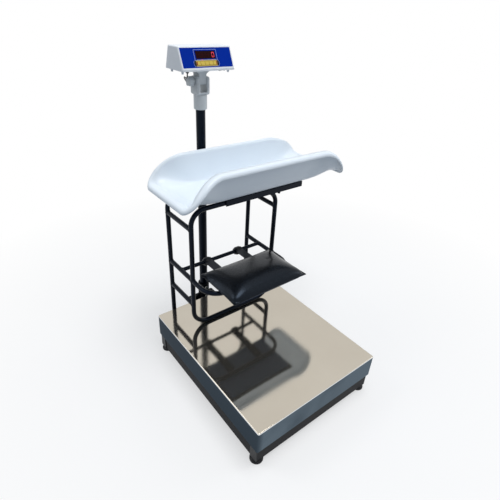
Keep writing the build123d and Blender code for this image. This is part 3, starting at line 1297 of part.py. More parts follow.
def build_cover(at, shell):
    """The base cover with its nubs, the parts it carries and the screws that hold it."""
    inner = HEAD_WIDTH / 2 - HEAD_SHEET - COVER_GAP
    y0 = HEAD_BASE_FRONT + HEAD_SHEET + COVER_GAP
    y1 = HEAD_BASE_REAR - 1.5 * HEAD_SHEET - COVER_GAP
    cover = block(-inner, inner, y0, y1, 0, COVER_SHEET)
    cover = fillet(cover.edges().filter_by(Axis.Z), HEAD_EDGE - HEAD_SHEET)
    screws = []
    for x, y in cover_boss_spots():
        spot = Pos(x, y, 0)
        boss_top = COVER_SHEET + 14.0
        boss = spot * Pos(0, 0, (COVER_SHEET + boss_top) / 2)
        boss = boss * Cylinder(4.0, boss_top - COVER_SHEET)
        wall = HEAD_WIDTH / 2 - 1.0 if x > 0 else -HEAD_WIDTH / 2 + 1.0
        rib = block(min(x, wall), max(x, wall), y - 1.25, y + 1.25, COVER_SHEET, boss_top)
        hole = spot * Pos(0, 0, COVER_SHEET + COVER_SCREW_BITE / 2)
        hole = hole * Cylinder(COVER_SCREW_RADIUS + THREAD_CLEARANCE, COVER_SCREW_BITE + 2.0)
        shell += at * (boss + rib)
        shell -= at * hole
        cover -= spot * Cylinder(COVER_SCREW_RADIUS + COVER_GAP, 4 * COVER_SHEET)
        screw = domed_screw(COVER_SCREW_RADIUS, COVER_SHEET + COVER_SCREW_BITE)
        screws.append(at * spot * Rot(180, 0, 0) * screw)
        nub_y = y + (9.0 if y < 0 else -9.0)
        nub = Pos(x - math.copysign(4.0, x), nub_y, -NUB_HEIGHT / 2)
        cover += nub * Rot(180, 0, 0) * Cone(NUB_RADIUS, NUB_TIP_RADIUS, NUB_HEIGHT)
    cover -= Pos(SWITCH_X, SWITCH_Y, 0) * Box(SWITCH_WIDTH - 3.0, SWITCH_DEPTH - 2.0, 4 * COVER_SHEET)
    stem_hole = GLAND_STEM_RADIUS + THREAD_CLEARANCE
    cover -= Pos(GLAND_X, GLAND_Y, 0) * Cylinder(stem_hole, 4 * COVER_SHEET)
    wide = NECK_TOP_WIDTH / 2
    for x, y in corners(wide * 0.78, TONGUE_DEPTH * 0.28):
        cover -= Pos(x, y, 0) * Cylinder(COVER_SCREW_RADIUS + THREAD_CLEARANCE, 4 * COVER_SHEET)
    keep("head_housing", shell)
    battery = Pos(0, BATTERY_Y, COVER_SHEET + 3.5 + BATTERY_HEIGHT / 2)
    battery = battery * Box(BATTERY_LENGTH, BATTERY_DEPTH, BATTERY_HEIGHT)
    battery = fillet(battery.edges().filter_by(Axis.Z), 2.0)
    keep("battery", at * battery)
    cradle = Pos(0, BATTERY_Y, COVER_SHEET + 4.5)
    cradle = cradle * Box(BATTERY_LENGTH + 4.4, BATTERY_DEPTH + 4.4, 11.0)
    pocket = Pos(0, BATTERY_Y, COVER_SHEET + 8.5) * Box(BATTERY_LENGTH, BATTERY_DEPTH, 10.0)
    cradle -= pocket
    for x, y in corners(wide * 0.78, TONGUE_DEPTH * 0.28):
        cradle -= Pos(x, y, COVER_SHEET) * Cylinder(COVER_SCREW_RADIUS + THREAD_CLEARANCE, 12.0)
    keep("head_base_cover", at * (cover + cradle))

    switch = Pos(SWITCH_X, SWITCH_Y, 0)
    case = Pos(0, 0, SWITCH_HEIGHT / 2) * Box(SWITCH_WIDTH - 3.0, SWITCH_DEPTH - 2.0, SWITCH_HEIGHT)
    flange = Pos(0, 0, -SWITCH_FLANGE / 2) * Box(SWITCH_WIDTH, SWITCH_DEPTH, SWITCH_FLANGE)
    flange = fillet(flange.edges().filter_by(Axis.Z), 2.0)
    body = case + flange - switch_well()
    keep("switch_case", at * switch * body)
    keep("switch_rocker", at * switch * Pos(0, 0, ROCKER_Z) * rocker())

    gland = Pos(GLAND_X, GLAND_Y, -GLAND_LENGTH / 2) * Cylinder(GLAND_RADIUS, GLAND_LENGTH)
    gland = fillet(gland.edges().sort_by(Axis.Z)[0], 1.5)
    gland += Pos(GLAND_X, GLAND_Y, COVER_SHEET / 2) * Cylinder(GLAND_STEM_RADIUS, COVER_SHEET)
    gland -= Pos(GLAND_X, GLAND_Y, 0) * Cylinder(CABLE_RADIUS, 4 * GLAND_LENGTH)
    keep("cable_gland", at * gland)
    return screws


def switch_well():
    """The room for the rocker's swing: as far as its tilted corners reach, and its pin holes."""
    tilt = math.radians(ROCKER_TILT)
    half = ROCKER_WIDTH / 2
    reach = half * math.cos(tilt) + ROCKER_DROP * math.sin(tilt) + ROCKER_GAP
    top = ROCKER_Z + ROCKER_TOP * math.cos(tilt) + half * math.sin(tilt) + ROCKER_GAP
    depth = ROCKER_DEPTH / 2 + ROCKER_GAP
    well = block(-reach, reach, -depth, depth, -2 * SWITCH_FLANGE, top)
    pin_reach = ROCKER_DEPTH / 2 + ROCKER_PIN_REACH + ROCKER_GAP
    pin_holes = rod(
        (0, -pin_reach, ROCKER_Z), (0, pin_reach, ROCKER_Z), ROCKER_PIN_RADIUS + ROCKER_PIN_FIT
    )
    return well + pin_holes


def rocker():
    """A rocker with two shallow faces that meet over its axis, on a round pin."""
    half = ROCKER_WIDTH / 2
    rise = half * math.tan(math.radians(ROCKER_TILT))
    profile = make_face(
        Polyline(
            (-half, ROCKER_TOP), (half, ROCKER_TOP), (half, -ROCKER_DROP),
            (0, -ROCKER_DROP + rise), (-half, -ROCKER_DROP), (-half, ROCKER_TOP),
        )
    )
    cap = extrude(Plane.XZ * profile, ROCKER_DEPTH / 2, both=True)
    pin_reach = ROCKER_DEPTH / 2 + ROCKER_PIN_REACH
    return cap + rod((0, -pin_reach, 0), (0, pin_reach, 0), ROCKER_PIN_RADIUS)


def build_cable():
    """The short lead from the head's gland into the side of the clevis."""
    top = HEAD_ABOVE_PIVOT
    entry_x = -CLEVIS_WIDTH / 2
    points = [
        (GLAND_X, GLAND_Y, top - 1.0),
        (GLAND_X, GLAND_Y, top - GLAND_LENGTH - 9.0),
        (GLAND_X + 6.0, GLAND_Y + 16.0, top - 24.0),
        (entry_x - 30.0, CABLE_ENTRY_Y - 8.0, top - 22.0),
        (entry_x - 19.0, CABLE_ENTRY_Y + 8.0, CABLE_ENTRY_DZ + 18.0),
        (entry_x - 9.0, CABLE_ENTRY_Y, CABLE_ENTRY_DZ),
        (entry_x + 2.0, CABLE_ENTRY_Y, CABLE_ENTRY_DZ),
    ]
    radii = corner_radii(points)
    path = FilletPolyline(*points, radius=radii)
    cable = sweep(Plane(origin=path @ 0, z_dir=path % 0) * Circle(CABLE_RADIUS), path=path)
    print("cable length", round(path.length, 1), "bend radii", [round(r, 1) for r in radii])
    keep("head_cable", Pos(COLUMN_X, COLUMN_Y, PIVOT_Z) * cable)


def corner_radii(points):
    """The largest tidy bend at each inner point: 0.45 of the shorter run beside it."""
    radii = []
    for before, here, after in zip(points, points[1:], points[2:]):
        first = Vector(*here) - Vector(*before)
        second = Vector(*after) - Vector(*here)
        turn = math.radians(first.get_angle(second))
        radii.append(0.45 * min(first.length, second.length) / math.tan(turn / 2))
    return radii


def write_pieces():
    """Writes each piece to its own file, shifted to the object's origin."""
    os.makedirs("parts", exist_ok=True)
    for name, solids in PIECES.items():
        moved = [Pos(-ORIGIN) * solid for solid in solids]
        bodies = [body for solid in moved for body in solid.solids()]
        shape = bodies[0] if len(bodies) == 1 else Compound(children=bodies)
        shape.label = name
        export_step(shape, os.path.join("parts", name + ".step"))


def main():
    """Builds every sub-assembly in order and writes it."""
    build_base_frame()
    build_feet()
    build_load_cell()
    build_weigh_frame()
    build_column()
    build_pan()
    build_stand()
    build_seat()
    build_tray()
    build_pole_head()
    neck_screws = build_neck()
    build_head(neck_screws)
    build_cable()
    write_pieces()


if __name__ == "__main__":
    main()
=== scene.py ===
"""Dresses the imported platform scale: finishes, padded seat, lead, welds and display."""

import logging
import math
from collections.abc import Sequence
from dataclasses import dataclass, field
from enum import Enum

import bmesh
import bpy
import numpy as np
from mathutils import Matrix, Vector


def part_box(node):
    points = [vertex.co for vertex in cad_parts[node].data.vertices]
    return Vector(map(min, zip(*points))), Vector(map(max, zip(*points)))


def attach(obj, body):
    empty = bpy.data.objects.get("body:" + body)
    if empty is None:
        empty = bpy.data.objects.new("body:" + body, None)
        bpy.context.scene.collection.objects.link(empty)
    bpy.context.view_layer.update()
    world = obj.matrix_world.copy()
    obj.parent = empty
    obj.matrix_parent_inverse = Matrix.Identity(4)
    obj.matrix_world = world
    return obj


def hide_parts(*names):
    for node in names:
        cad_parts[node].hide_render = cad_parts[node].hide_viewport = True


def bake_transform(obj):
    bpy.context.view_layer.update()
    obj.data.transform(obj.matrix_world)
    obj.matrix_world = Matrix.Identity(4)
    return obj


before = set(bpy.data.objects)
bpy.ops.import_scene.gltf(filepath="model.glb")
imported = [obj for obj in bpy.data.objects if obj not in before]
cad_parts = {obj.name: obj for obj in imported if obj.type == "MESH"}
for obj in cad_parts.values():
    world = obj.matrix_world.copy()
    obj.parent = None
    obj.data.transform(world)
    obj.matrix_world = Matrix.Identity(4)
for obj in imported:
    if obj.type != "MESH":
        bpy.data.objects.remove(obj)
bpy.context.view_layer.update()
LOG = logging.getLogger("scale")
MM = 0.001
# Keeps a division by a length of nought from failing
TINY = 1e-9

Tree = bpy.types.NodeTree
Socket = bpy.types.NodeSocket
# A shape is its corner points in metres and the rows of corner numbers of its faces
Shape = tuple[np.ndarray, np.ndarray]


class Body(Enum):
    """The rigid bodies that the new pieces ride on."""

    STAND = "pan_and_stand"
    TRAY = "infant_tray"
    SEAT = "seat"
    SWIVEL = "swivel"
    HEAD = "head"


def linear(colour: str) -> tuple[float, float, float, float]:
    """Turns an sRGB hex colour to the linear values that a shader takes.

    The sRGB standard's curve is a straight line for the darkest values and a
    power for the rest.

    Args:
        colour: The colour as "#rrggbb".

    Returns:
        Red, green, blue and alpha.
    """
    parts = np.array([int(colour[i:i + 2], 16) / 255 for i in (1, 3, 5)])
    low = parts / 12.92
    high = ((parts + 0.055) / 1.055) ** 2.4
    red, green, blue = np.where(parts <= 0.04045, low, high)
    return float(red), float(green), float(blue), 1.0


def add_node(
    tree: Tree,
    kind: str,
    settings: dict[str | int, object] | None = None,
    links: dict[str | int, Socket] | None = None,
) -> bpy.types.Node:
    """Adds one shader node with its settings and links.

    Inputs go by their names, or by their numbers where several share a name, as
    those of the Mix and Math nodes do.

    Args:
        tree: The tree that gets the node.
        kind: Blender's name for the node.
        settings: Values of inputs, or of properties where no input has the name.
        links: The sockets that feed the node's inputs.

    Returns:
        The new node.
    """
    made = tree.nodes.new(kind)
    for key, value in (settings or {}).items():
        if isinstance(key, int) or key in made.inputs:
            made.inputs[key].default_value = value
        else:
            setattr(made, key, value)
    for key, source in (links or {}).items():
        tree.links.new(source, made.inputs[key])
    return made


@dataclass(frozen=True)
class Finish:
    """A real surface: two close tones in soft patches, a grain in relief and a varying gloss."""

    name: str
    colour: str
    tone: str
    roughness: float
    metallic: float = 0.0
    gloss_spread: float = 0.05
    grain_mm: float = 0.8
    depth_mm: float = 0.02
    patch_mm: float = 70.0
    stretch: tuple[float, float, float] = (1.0, 1.0, 1.0)
    specular: float = 0.5
    # Tint of the reflections; where the palette sets it, it is painted light: a bluish cast in
    # the highlights of the coat and the cloth, and a grey that dims the steel's grazing
    # reflections
    glint: str = "#ffffff"
    least_roughness: float = 0.02

    def grain(self, tree: Tree, place: Socket) -> Socket:
        """Adds the noise that the relief and the gloss follow.

        Args:
            tree: The material's nodes.
            place: Object coordinates in metres.

        Returns:
            Height of the grain, from 0 to 1.
        """
        stretched = add_node(
            tree, "ShaderNodeMapping", {"Scale": self.stretch}, {"Vector": place}
        )
        noise = add_node(
            tree,
            "ShaderNodeTexNoise",
            {"Scale": 1 / (self.grain_mm * MM), "Detail": 3.0, "Roughness": 0.6},
            {"Vector": stretched.outputs["Vector"]},
        )
        return noise.outputs["Fac"]

    def tint(self, tree: Tree, place: Socket) -> Socket:
        """Mixes the two tones in soft patches.

        Args:
            tree: The material's nodes.
            place: Object coordinates in metres.

        Returns:
            Colour of the surface.
        """
        patches = add_node(
            tree,
            "ShaderNodeTexNoise",
            {"Scale": 1 / (self.patch_mm * MM), "Detail": 4.0, "Roughness": 0.55},
            {"Vector": place},
        )
        mixed = add_node(
            tree,
            "ShaderNodeMix",
            {"data_type": "RGBA", 6: linear(self.colour), 7: linear(self.tone)},
            {0: patches.outputs["Fac"]},
        )
        return mixed.outputs[2]

    def material(self) -> bpy.types.Material:
        """Makes the material at the first call and finds it again at the next ones.

        Returns:
            The material.
        """
        known = bpy.data.materials.get(self.name)
        if known is not None:
            return known
        made = bpy.data.materials.new(self.name)
        made.use_nodes = True
        tree = made.node_tree
        tree.nodes.clear()
        place = add_node(tree, "ShaderNodeTexCoord").outputs["Object"]
        height = self.grain(tree, place)
        gloss = add_node(
            tree,
            "ShaderNodeMapRange",
            {
                "To Min": max(self.roughness - self.gloss_spread, self.least_roughness),
                "To Max": self.roughness + self.gloss_spread,
            },
            {"Value": height},
        )
        bump = add_node(
            tree,
            "ShaderNodeBump",
            {"Distance": self.depth_mm * MM, "Strength": 1.0},
            {"Height": height},
        )
        shader = add_node(
            tree,
            "ShaderNodeBsdfPrincipled",
            {
                "Metallic": self.metallic,
                "Specular IOR Level": self.specular,
                "Specular Tint": linear(self.glint),
            },
            {
                "Base Color": self.tint(tree, place),
                "Roughness": gloss.outputs["Result"],
                "Normal": bump.outputs["Normal"],
            },
        )
        self.extra(shader)
        add_node(
            tree, "ShaderNodeOutputMaterial", links={"Surface": shader.outputs["BSDF"]}
        )
        return made

    def extra(self, shader: bpy.types.Node) -> None:
        """Sets what only some finishes have."""


@dataclass(frozen=True)
class MirrorSheet(Finish):
    """Mirror-rolled stainless sheet: slightly wavy and warm on top, with a painted highlight on
    the fold and painted shade and reflections on the skirt.

    The depths of fold_mm count down from the top edge: where the painted highlight
    of the fold starts, and where the skirt starts. The skirt is painted shade: it goes
    from a dark left tone, for the shaded left side, to its front tone across shade_mm,
    counted from the left side of the sheet, and soft clouds of painted reflection make
    the front tone uneven.
    """

    line_share: float = 0.06
    wave_mm: float = 160.0
    # Painted highlight of the fold, and the skirt's painted shade: dark on the shaded left, with
    # painted reflections in front
    fold: str = "#f2f6fa"
    skirt: tuple[str, str] = ("#3b454e", "#68757f")
    edge_z: float = 0.0
    left_x: float = 0.0
    fold_mm: tuple[float, float] = (1.0, 3.6)
    blend_mm: float = 0.8
    shade_mm: tuple[float, float] = (1.0, 20.0)
    cloud_mm: float = 130.0
    cloud_noise: tuple[float, float] = (0.3, 0.7)
    cloud_share: tuple[float, float] = (0.55, 1.25)

    def grain(self, tree: Tree, place: Socket) -> Socket:
        """Adds the sheet's long soft waves, with faint drawing lines along it.

        Args:
            tree: The material's nodes.
            place: Object coordinates in metres.

        Returns:
            Height of the surface, from 0 to 1.
        """
        waves = add_node(
            tree,
            "ShaderNodeTexNoise",
            {"Scale": 1 / (self.wave_mm * MM), "Detail": 1.0},
            {"Vector": place},
        )
        mixed = add_node(
            tree,
            "ShaderNodeMix",
            {0: self.line_share},
            {2: waves.outputs["Fac"], 3: super().grain(tree, place)},
        )
        return mixed.outputs[0]

    def front_share(self, tree: Tree, across: Socket, place: Socket) -> Socket:
        """Adds how much of the front's tone the skirt has.

        It is the way across the left edge from 0 to 1, times the clouds of painted reflection.

        Args:
            tree: The material's nodes.
            across: Place along X in metres.
            place: Object coordinates in metres.

        Returns:
            The share, from 0 to a little over 1.
        """
        start, end = self.shade_mm
        way = add_node(
            tree,
            "ShaderNodeMapRange",
            {"From Min": self.left_x + start * MM, "From Max": self.left_x + end * MM},
            {"Value": across},
        )
        clouds = add_node(
            tree,
            "ShaderNodeTexNoise",
            {"Scale": 1 / (self.cloud_mm * MM), "Detail": 3.0, "Roughness": 0.5},
            {"Vector": place},
        )
        thin, dense = self.cloud_noise
        least, most = self.cloud_share
        clouded = add_node(
            tree,
            "ShaderNodeMapRange",
            {"From Min": thin, "From Max": dense, "To Min": least, "To Max": most},
            {"Value": clouds.outputs["Fac"]},
        )
        front = add_node(
            tree,
            "ShaderNodeMath",
            {"operation": "MULTIPLY"},
            {0: way.outputs["Result"], 1: clouded.outputs["Result"]},
        )
        return front.outputs["Value"]

    def tint(self, tree: Tree, place: Socket) -> Socket:
        """Lays the fold's painted highlight and then the skirt's painted shade over the tones of
        the top.

        Args:
            tree: The material's nodes.
            place: Object coordinates in metres.

        Returns:
            Colour of the surface.
        """
        colour = super().tint(tree, place)
        split = add_node(tree, "ShaderNodeSeparateXYZ", links={"Vector": place})
        front = self.front_share(tree, split.outputs["X"], place)
        # The fold gets its painted highlight, then the skirt its painted shade and reflections
        for depth, tones in zip(self.fold_mm, ((self.fold, self.fold), self.skirt)):
            start = self.edge_z - depth * MM
            below = add_node(
                tree,
                "ShaderNodeMapRange",
                {"From Min": start, "From Max": start - self.blend_mm * MM},
                {"Value": split.outputs["Z"]},
            )
            tone = add_node(
                tree,
                "ShaderNodeMix",
                {"data_type": "RGBA", 6: linear(tones[0]), 7: linear(tones[1])},
                {0: front},
            )
            mixed = add_node(
                tree,
                "ShaderNodeMix",
                {"data_type": "RGBA"},
                {0: below.outputs["Result"], 6: colour, 7: tone.outputs[2]},
            )
            colour = mixed.outputs[2]
        return colour


@dataclass(frozen=True)
class Leatherette(Finish):
    """Coated cloth: rounded pebbles with fine creases between them."""

    softness: float = 0.6

    def grain(self, tree: Tree, place: Socket) -> Socket:
        """Adds the pebbles as the distance from the middle of rounded cells.

        Args:
            tree: The material's nodes.
            place: Object coordinates in metres.

        Returns:
            Height of the pebbles, from 0 to 1.
        """
        cells = add_node(
            tree,
            "ShaderNodeTexVoronoi",
            {
                "feature": "SMOOTH_F1",
                "Scale": 1 / (self.grain_mm * MM),
                "Smoothness": self.softness,
            },
            {"Vector": place},
        )
        return cells.outputs["Distance"]


@dataclass(frozen=True)
class TintedAcrylic(Finish):
    """Cast acrylic: a smooth dark filter that lets a little light through."""

    clearness: float = 0.05
    ior: float = 1.49

    def extra(self, shader: bpy.types.Node) -> None:
        """Sets how much passes, and how much it bends."""
        shader.inputs["Transmission Weight"].default_value = self.clearness
        shader.inputs["IOR"].default_value = self.ior


@dataclass(frozen=True)
class EndMarked(Finish):
    """A moulding with its outer ends printed in another colour."""

    mark: str = "#000000"
    middle_x: float = 0.0
    reach: float = 0.0
    blend_mm: float = 0.4

    def tint(self, tree: Tree, place: Socket) -> Socket:
        """Mixes in the mark where the distance from the middle passes the reach.

        Args:
            tree: The material's nodes.
            place: Object coordinates in metres.

        Returns:
            Colour of the surface.
        """
        split = add_node(tree, "ShaderNodeSeparateXYZ", links={"Vector": place})
        offset = add_node(
            tree,
            "ShaderNodeMath",
            {"operation": "SUBTRACT", 1: self.middle_x},
            {0: split.outputs["X"]},
        )
        away = add_node(
            tree, "ShaderNodeMath", {"operation": "ABSOLUTE"}, {0: offset.outputs["Value"]}
        )
        beyond = add_node(
            tree,
            "ShaderNodeMapRange",
            {"From Min": self.reach, "From Max": self.reach + self.blend_mm * MM},
            {"Value": away.outputs["Value"]},
        )
        mixed = add_node(
            tree,
            "ShaderNodeMix",
            {"data_type": "RGBA", 7: linear(self.mark)},
            {0: beyond.outputs["Result"], 6: super().tint(tree, place)},
        )
        return mixed.outputs[2]


@dataclass(frozen=True)
class LitSegment(Finish):
    """Diffused light-emitting diode behind its filter."""

    glow: float = 0.7

    def extra(self, shader: bpy.types.Node) -> None:
        """Makes the segment shine in its own colour."""
        shader.inputs["Emission Color"].default_value = linear(self.colour)
        shader.inputs["Emission Strength"].default_value = self.glow


def middle_of(node: str) -> np.ndarray:
    """The middle of a CAD node's box at rest, in metres."""
    low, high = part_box(node)
    return (np.array(low) + np.array(high)) / 2


class Palette:
    """The finishes of this scale, named for the real material and process."""

    # Rolled stainless sheet has a clear reflection, a little soft at a distance; the grey tint
    # of its glint dims its grazing reflections, painted shade on the skirt
    mirror_steel = MirrorSheet(
        "mirror_rolled_stainless", "#cdc6b9", "#beb6a8", 0.07, 0.95, 0.025,
        grain_mm=0.9, depth_mm=0.35, patch_mm=240.0, stretch=(1.0, 0.02, 1.0),
        glint="#b8babc", edge_z=float(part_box("pan")[1].z), left_x=float(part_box("pan")[0].x),
    )
    # Powder coat has a fine orange peel and a satin gloss; the blue tint of its glint paints a
    # bluish cast of light into its highlights
    powder_coat = Finish(
        "black_powder_coated_steel", "#04070d", "#080c14", 0.28,
        grain_mm=1.1, depth_mm=0.015, patch_mm=50.0, specular=0.2, glint="#a3bbe0",
    )
    # Enamel put on by brush is uneven, and dustier and duller than the tubes
    dull_coat = Finish(
        "black_brushed_on_enamel", "#05070c", "#0a0d13", 0.45, 0.0, 0.09,
        grain_mm=1.6, depth_mm=0.05, patch_mm=35.0, specular=0.08,
    )
    # Zinc plating is bright with a milky spangle
    zinc = Finish(
        "zinc_plated_steel", "#b9bab4", "#92948f", 0.3, 1.0, 0.1,
        grain_mm=0.5, depth_mm=0.01, patch_mm=6.0,
    )
    # Milled aluminium shows the cutter's fine lines
    milled = Finish(
        "milled_aluminium", "#c6c9cd", "#aeb2b8", 0.28, 1.0, 0.08,
        grain_mm=0.5, depth_mm=0.015, patch_mm=20.0, stretch=(1.0, 0.05, 1.0),
    )
    # Moulded rubber is dull with a bloom
    rubber = Finish(
        "moulded_black_rubber", "#0c0d10", "#15171a", 0.66, 0.0, 0.08,
        grain_mm=0.7, depth_mm=0.03, patch_mm=15.0, specular=0.2,
    )
    # Glass-filled nylon is semi-matt and lightly stippled
    black_plastic = Finish(
        "moulded_black_nylon", "#0a0c10", "#14161b", 0.38, 0.0, 0.06,
        grain_mm=0.6, patch_mm=18.0, specular=0.2,
    )
    # Coated cloth has pebbles of about a millimetre, drawn half as coarse again to show; the
    # blue tint of its glint paints a bluish cast of light into its highlights
    leatherette = Leatherette(
        "black_leatherette", "#050608", "#090a0c", 0.27,
        grain_mm=1.5, depth_mm=0.03, patch_mm=60.0, specular=0.3, glint="#a9bfdc",
    )
    # Black painted plywood with the plies' grain showing through, coloured a light blue-grey as
    # painted light: the glow the pan bounces onto its underside, with a bluish cast
    painted_ply = Finish(
        "black_painted_plywood", "#2c3a50", "#374660", 0.5, 0.0, 0.1,
        grain_mm=1.4, depth_mm=0.08, patch_mm=40.0, stretch=(0.08, 1.0, 3.0), specular=0.15,
    )
    # Gel coat over glass fibre is smooth, bluish white and very faintly wavy
    gel_coat = Finish(
        "gel_coated_fibreglass", "#e9f1f8", "#e1eaf3", 0.34, 0.0, 0.04,
        grain_mm=9.0, depth_mm=0.06, patch_mm=120.0, specular=0.4,
    )
    # Injection-moulded housing with a fine spark-eroded texture
    housing_abs = Finish(
        "spark_textured_abs", "#dde1e6", "#d3d8de", 0.42, 0.0, 0.04,
        grain_mm=0.7, patch_mm=60.0,
    )
    # The pole head is moulded in a greyer batch
    pole_abs = Finish(
        "moulded_grey_abs", "#cfd2d3", "#c3c7c9", 0.44,
        grain_mm=0.8, depth_mm=0.03, patch_mm=40.0,
    )
    # Polyester sheet printed on its back, with a fine matt stipple on its face
    overlay = Finish(
        "printed_polyester_sheet", "#052e9c", "#03268c", 0.45, 0.0, 0.04,
        grain_mm=0.5, depth_mm=0.008, patch_mm=50.0, specular=0.02,
    )
    # Screen-printed ink lies flat and even on the sheet
    pale_print = Finish(
        "pale_printed_line", "#8fa6d8", "#a6b9e0", 0.36, grain_mm=0.5, depth_mm=0.005,
    )
    grey_print = Finish(
        "grey_printed_strip", "#7d8696", "#6c7585", 0.36, grain_mm=0.5, depth_mm=0.005,
    )
    # Red acrylic looks nearly black until a segment shines through it
    window = TintedAcrylic(
        "cast_red_acrylic", "#1d0508", "#120406", 0.3, 0.0, 0.02,
        grain_mm=4.0, depth_mm=0.01, patch_mm=30.0, specular=0.03,
    )
    # Diffusing resin: dull red while it is off, and glowing evenly when it is lit
    dark_segment = Finish(
        "unlit_led_segment", "#3a090d", "#2e070b", 0.4,
        grain_mm=0.6, depth_mm=0.005, specular=0.05,
    )
    lit_segment = LitSegment(
        "lit_led_segment", "#e8425c", "#f0566c", 0.4,
        grain_mm=0.6, depth_mm=0.005, specular=0.05,
    )
    # Silicone keys are slightly waxy
    yellow_key = EndMarked(
        "moulded_yellow_silicone", "#d6bd58", "#c6ab49", 0.5,
        grain_mm=0.6, patch_mm=8.0, specular=0.2, mark="#8e1f1c",
        middle_x=float(middle_of("key_bezel")[0]), reach=32.6 * MM,
    )
    # The bezel is pad-printed yellow between its black ends
    bezel = EndMarked(
        "printed_nylon_bezel", "#b79e45", "#a98f3b", 0.45,
        grain_mm=0.6, patch_mm=8.0, specular=0.2, mark="#0b0c10",
        middle_x=float(middle_of("key_bezel")[0]), reach=36.8 * MM,
    )
    # Woven glass in green resin shows a fine weave that runs one way
    board = Finish(
        "glass_epoxy_laminate", "#0e4a2a", "#0b3d22", 0.35, 0.0, 0.06,
        grain_mm=0.5, depth_mm=0.01, patch_mm=9.0, stretch=(1.0, 0.3, 1.0),
    )
    # The battery's case is dark and semi-matt from the mould
    battery = Finish(
        "moulded_battery_case", "#2c2d30", "#37393c", 0.5, grain_mm=0.7, depth_mm=0.03,
    )
    # Extruded vinyl is smooth and a little greasy
    sheath = Finish(
        "extruded_pvc_sheath", "#08090b", "#0d0e10", 0.35, grain_mm=0.8, specular=0.2,
    )


FEET = ("front_left", "front_right", "rear_left", "rear_right")
KEYS = 5
DRESS: dict[Finish, tuple[str, ...]] = {
    Palette.mirror_steel: ("pan",),
    Palette.dull_coat: (
        "frame_cross_rails", "frame_side_rails", "cell_beams", "weigh_frame",
        "column_bracket", "seat_screws",
    ),
    Palette.powder_coat: (
        "column_tube", "stand_front_loop", "stand_rear_arch", "stand_side_bars",
        "seat_loop", "seat_arms", "hinge_bar", "leg_anchors", "tray_frame",
    ),
    Palette.zinc: (
        "cell_plates", "cell_spacers", "cell_bolts", "overload_stops", "foot_lock_nuts",
        "clamp_bolts", "anchor_screws", "tray_screws", "tilt_bolt", "head_screws",
    ),
    Palette.milled: ("load_cell",),
    Palette.rubber: ("pan_pads",),
    Palette.black_plastic: (
        "rail_end_caps", "leg_plugs", "led_module", "key_switches",
        "switch_case", "switch_rocker", "cable_gland",
        *(f"levelling_foot_{corner}" for corner in FEET),
    ),
    Palette.painted_ply: ("seat_board",),
    Palette.gel_coat: ("tray",),
    Palette.pole_abs: ("pole_head", "tilt_knob", "head_neck"),
    Palette.housing_abs: ("head_housing", "head_base_cover"),
    Palette.overlay: ("overlay",),
    Palette.window: ("display_window",),
    Palette.bezel: ("key_bezel",),
    Palette.yellow_key: tuple(f"key_{number + 1}" for number in range(KEYS)),
    Palette.board: ("display_board",),
    Palette.battery: ("battery",),
}


def dress_frame() -> None:
    """Gives the CAD nodes their finishes."""
    for finish, names in DRESS.items():
        for name in names:
            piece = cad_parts[name]
            piece.data.materials.clear()
            piece.data.materials.append(finish.material())
            LOG.info("%s dressed in %s", name, finish.name)


def add_mesh(
    name: str,
    points: np.ndarray,
    faces: np.ndarray,
    material: bpy.types.Material,
    smooth: bool = True,
) -> bpy.types.Object:
    """Makes one object from whole arrays.

    Args:
        name: The object's name.
        points: Corner places in metres, one row each.
        faces: Rows of three or four corner numbers.
        material: What it is made of.
        smooth: Whether the shading is smooth.

    Returns:
        The new object.
    """
    mesh = bpy.data.meshes.new(name)
    mesh.from_pydata(points.tolist(), [], faces.tolist())
    mesh.validate()
    mesh.polygons.foreach_set("use_smooth", np.full(len(mesh.polygons), smooth))
    mesh.materials.append(material)
    made = bpy.data.objects.new(name, mesh)
    bpy.context.scene.collection.objects.link(made)
    LOG.info("%s made with %d faces", name, len(mesh.polygons))
    return made


def mesh_piece(
    name: str, shape: Shape, finish: Finish, body: Body, smooth: bool = True
) -> bpy.types.Object:
    """Makes one piece and lets it ride on its body.

    Args:
        name: The piece's name.
        shape: Its points and faces.
        finish: The finish it gets.
        body: The body that it moves with.
        smooth: Whether the shading is smooth.

    Returns:
        The new piece.
    """
    piece = add_mesh(name, *shape, finish.material(), smooth)
    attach(piece, body.value)
    return piece


def join(parts: Sequence[Shape]) -> Shape:
    """Joins shapes to one, with each one's corner numbers counted on from the last.

    Args:
        parts: The shapes.

    Returns:
        All their points and faces.
    """
    starts = np.cumsum([0] + [len(points) for points, _ in parts[:-1]])
    faces = [rows + start for (_, rows), start in zip(parts, starts)]
    return np.concatenate([points for points, _ in parts]), np.concatenate(faces)


def grid_faces(rows: int, columns: int, closed: tuple[bool, bool]) -> np.ndarray:
    """Numbers the four-sided faces of a grid of points.

    Args:
        rows: Points along the first direction.
        columns: Points along the second direction.
        closed: Whether each direction joins its end to its start.

    Returns:
        One row of four corner numbers for each face.
    """
    across = np.arange(rows if closed[0] else rows - 1)
    along = np.arange(columns if closed[1] else columns - 1)
    first, second = np.meshgrid(across, along, indexing="ij")
    next_first = (first + 1) % rows
    next_second = (second + 1) % columns
    corners = [
        first * columns + second,
        next_first * columns + second,
        next_first * columns + next_second,
        first * columns + next_second,
    ]
    return np.stack(corners, axis=-1).reshape(-1, 4)


def circle(count: int) -> np.ndarray:
    """Angles of evenly spaced points once round a circle, in radians."""
    return np.linspace(0, 2 * math.pi, count, endpoint=False)


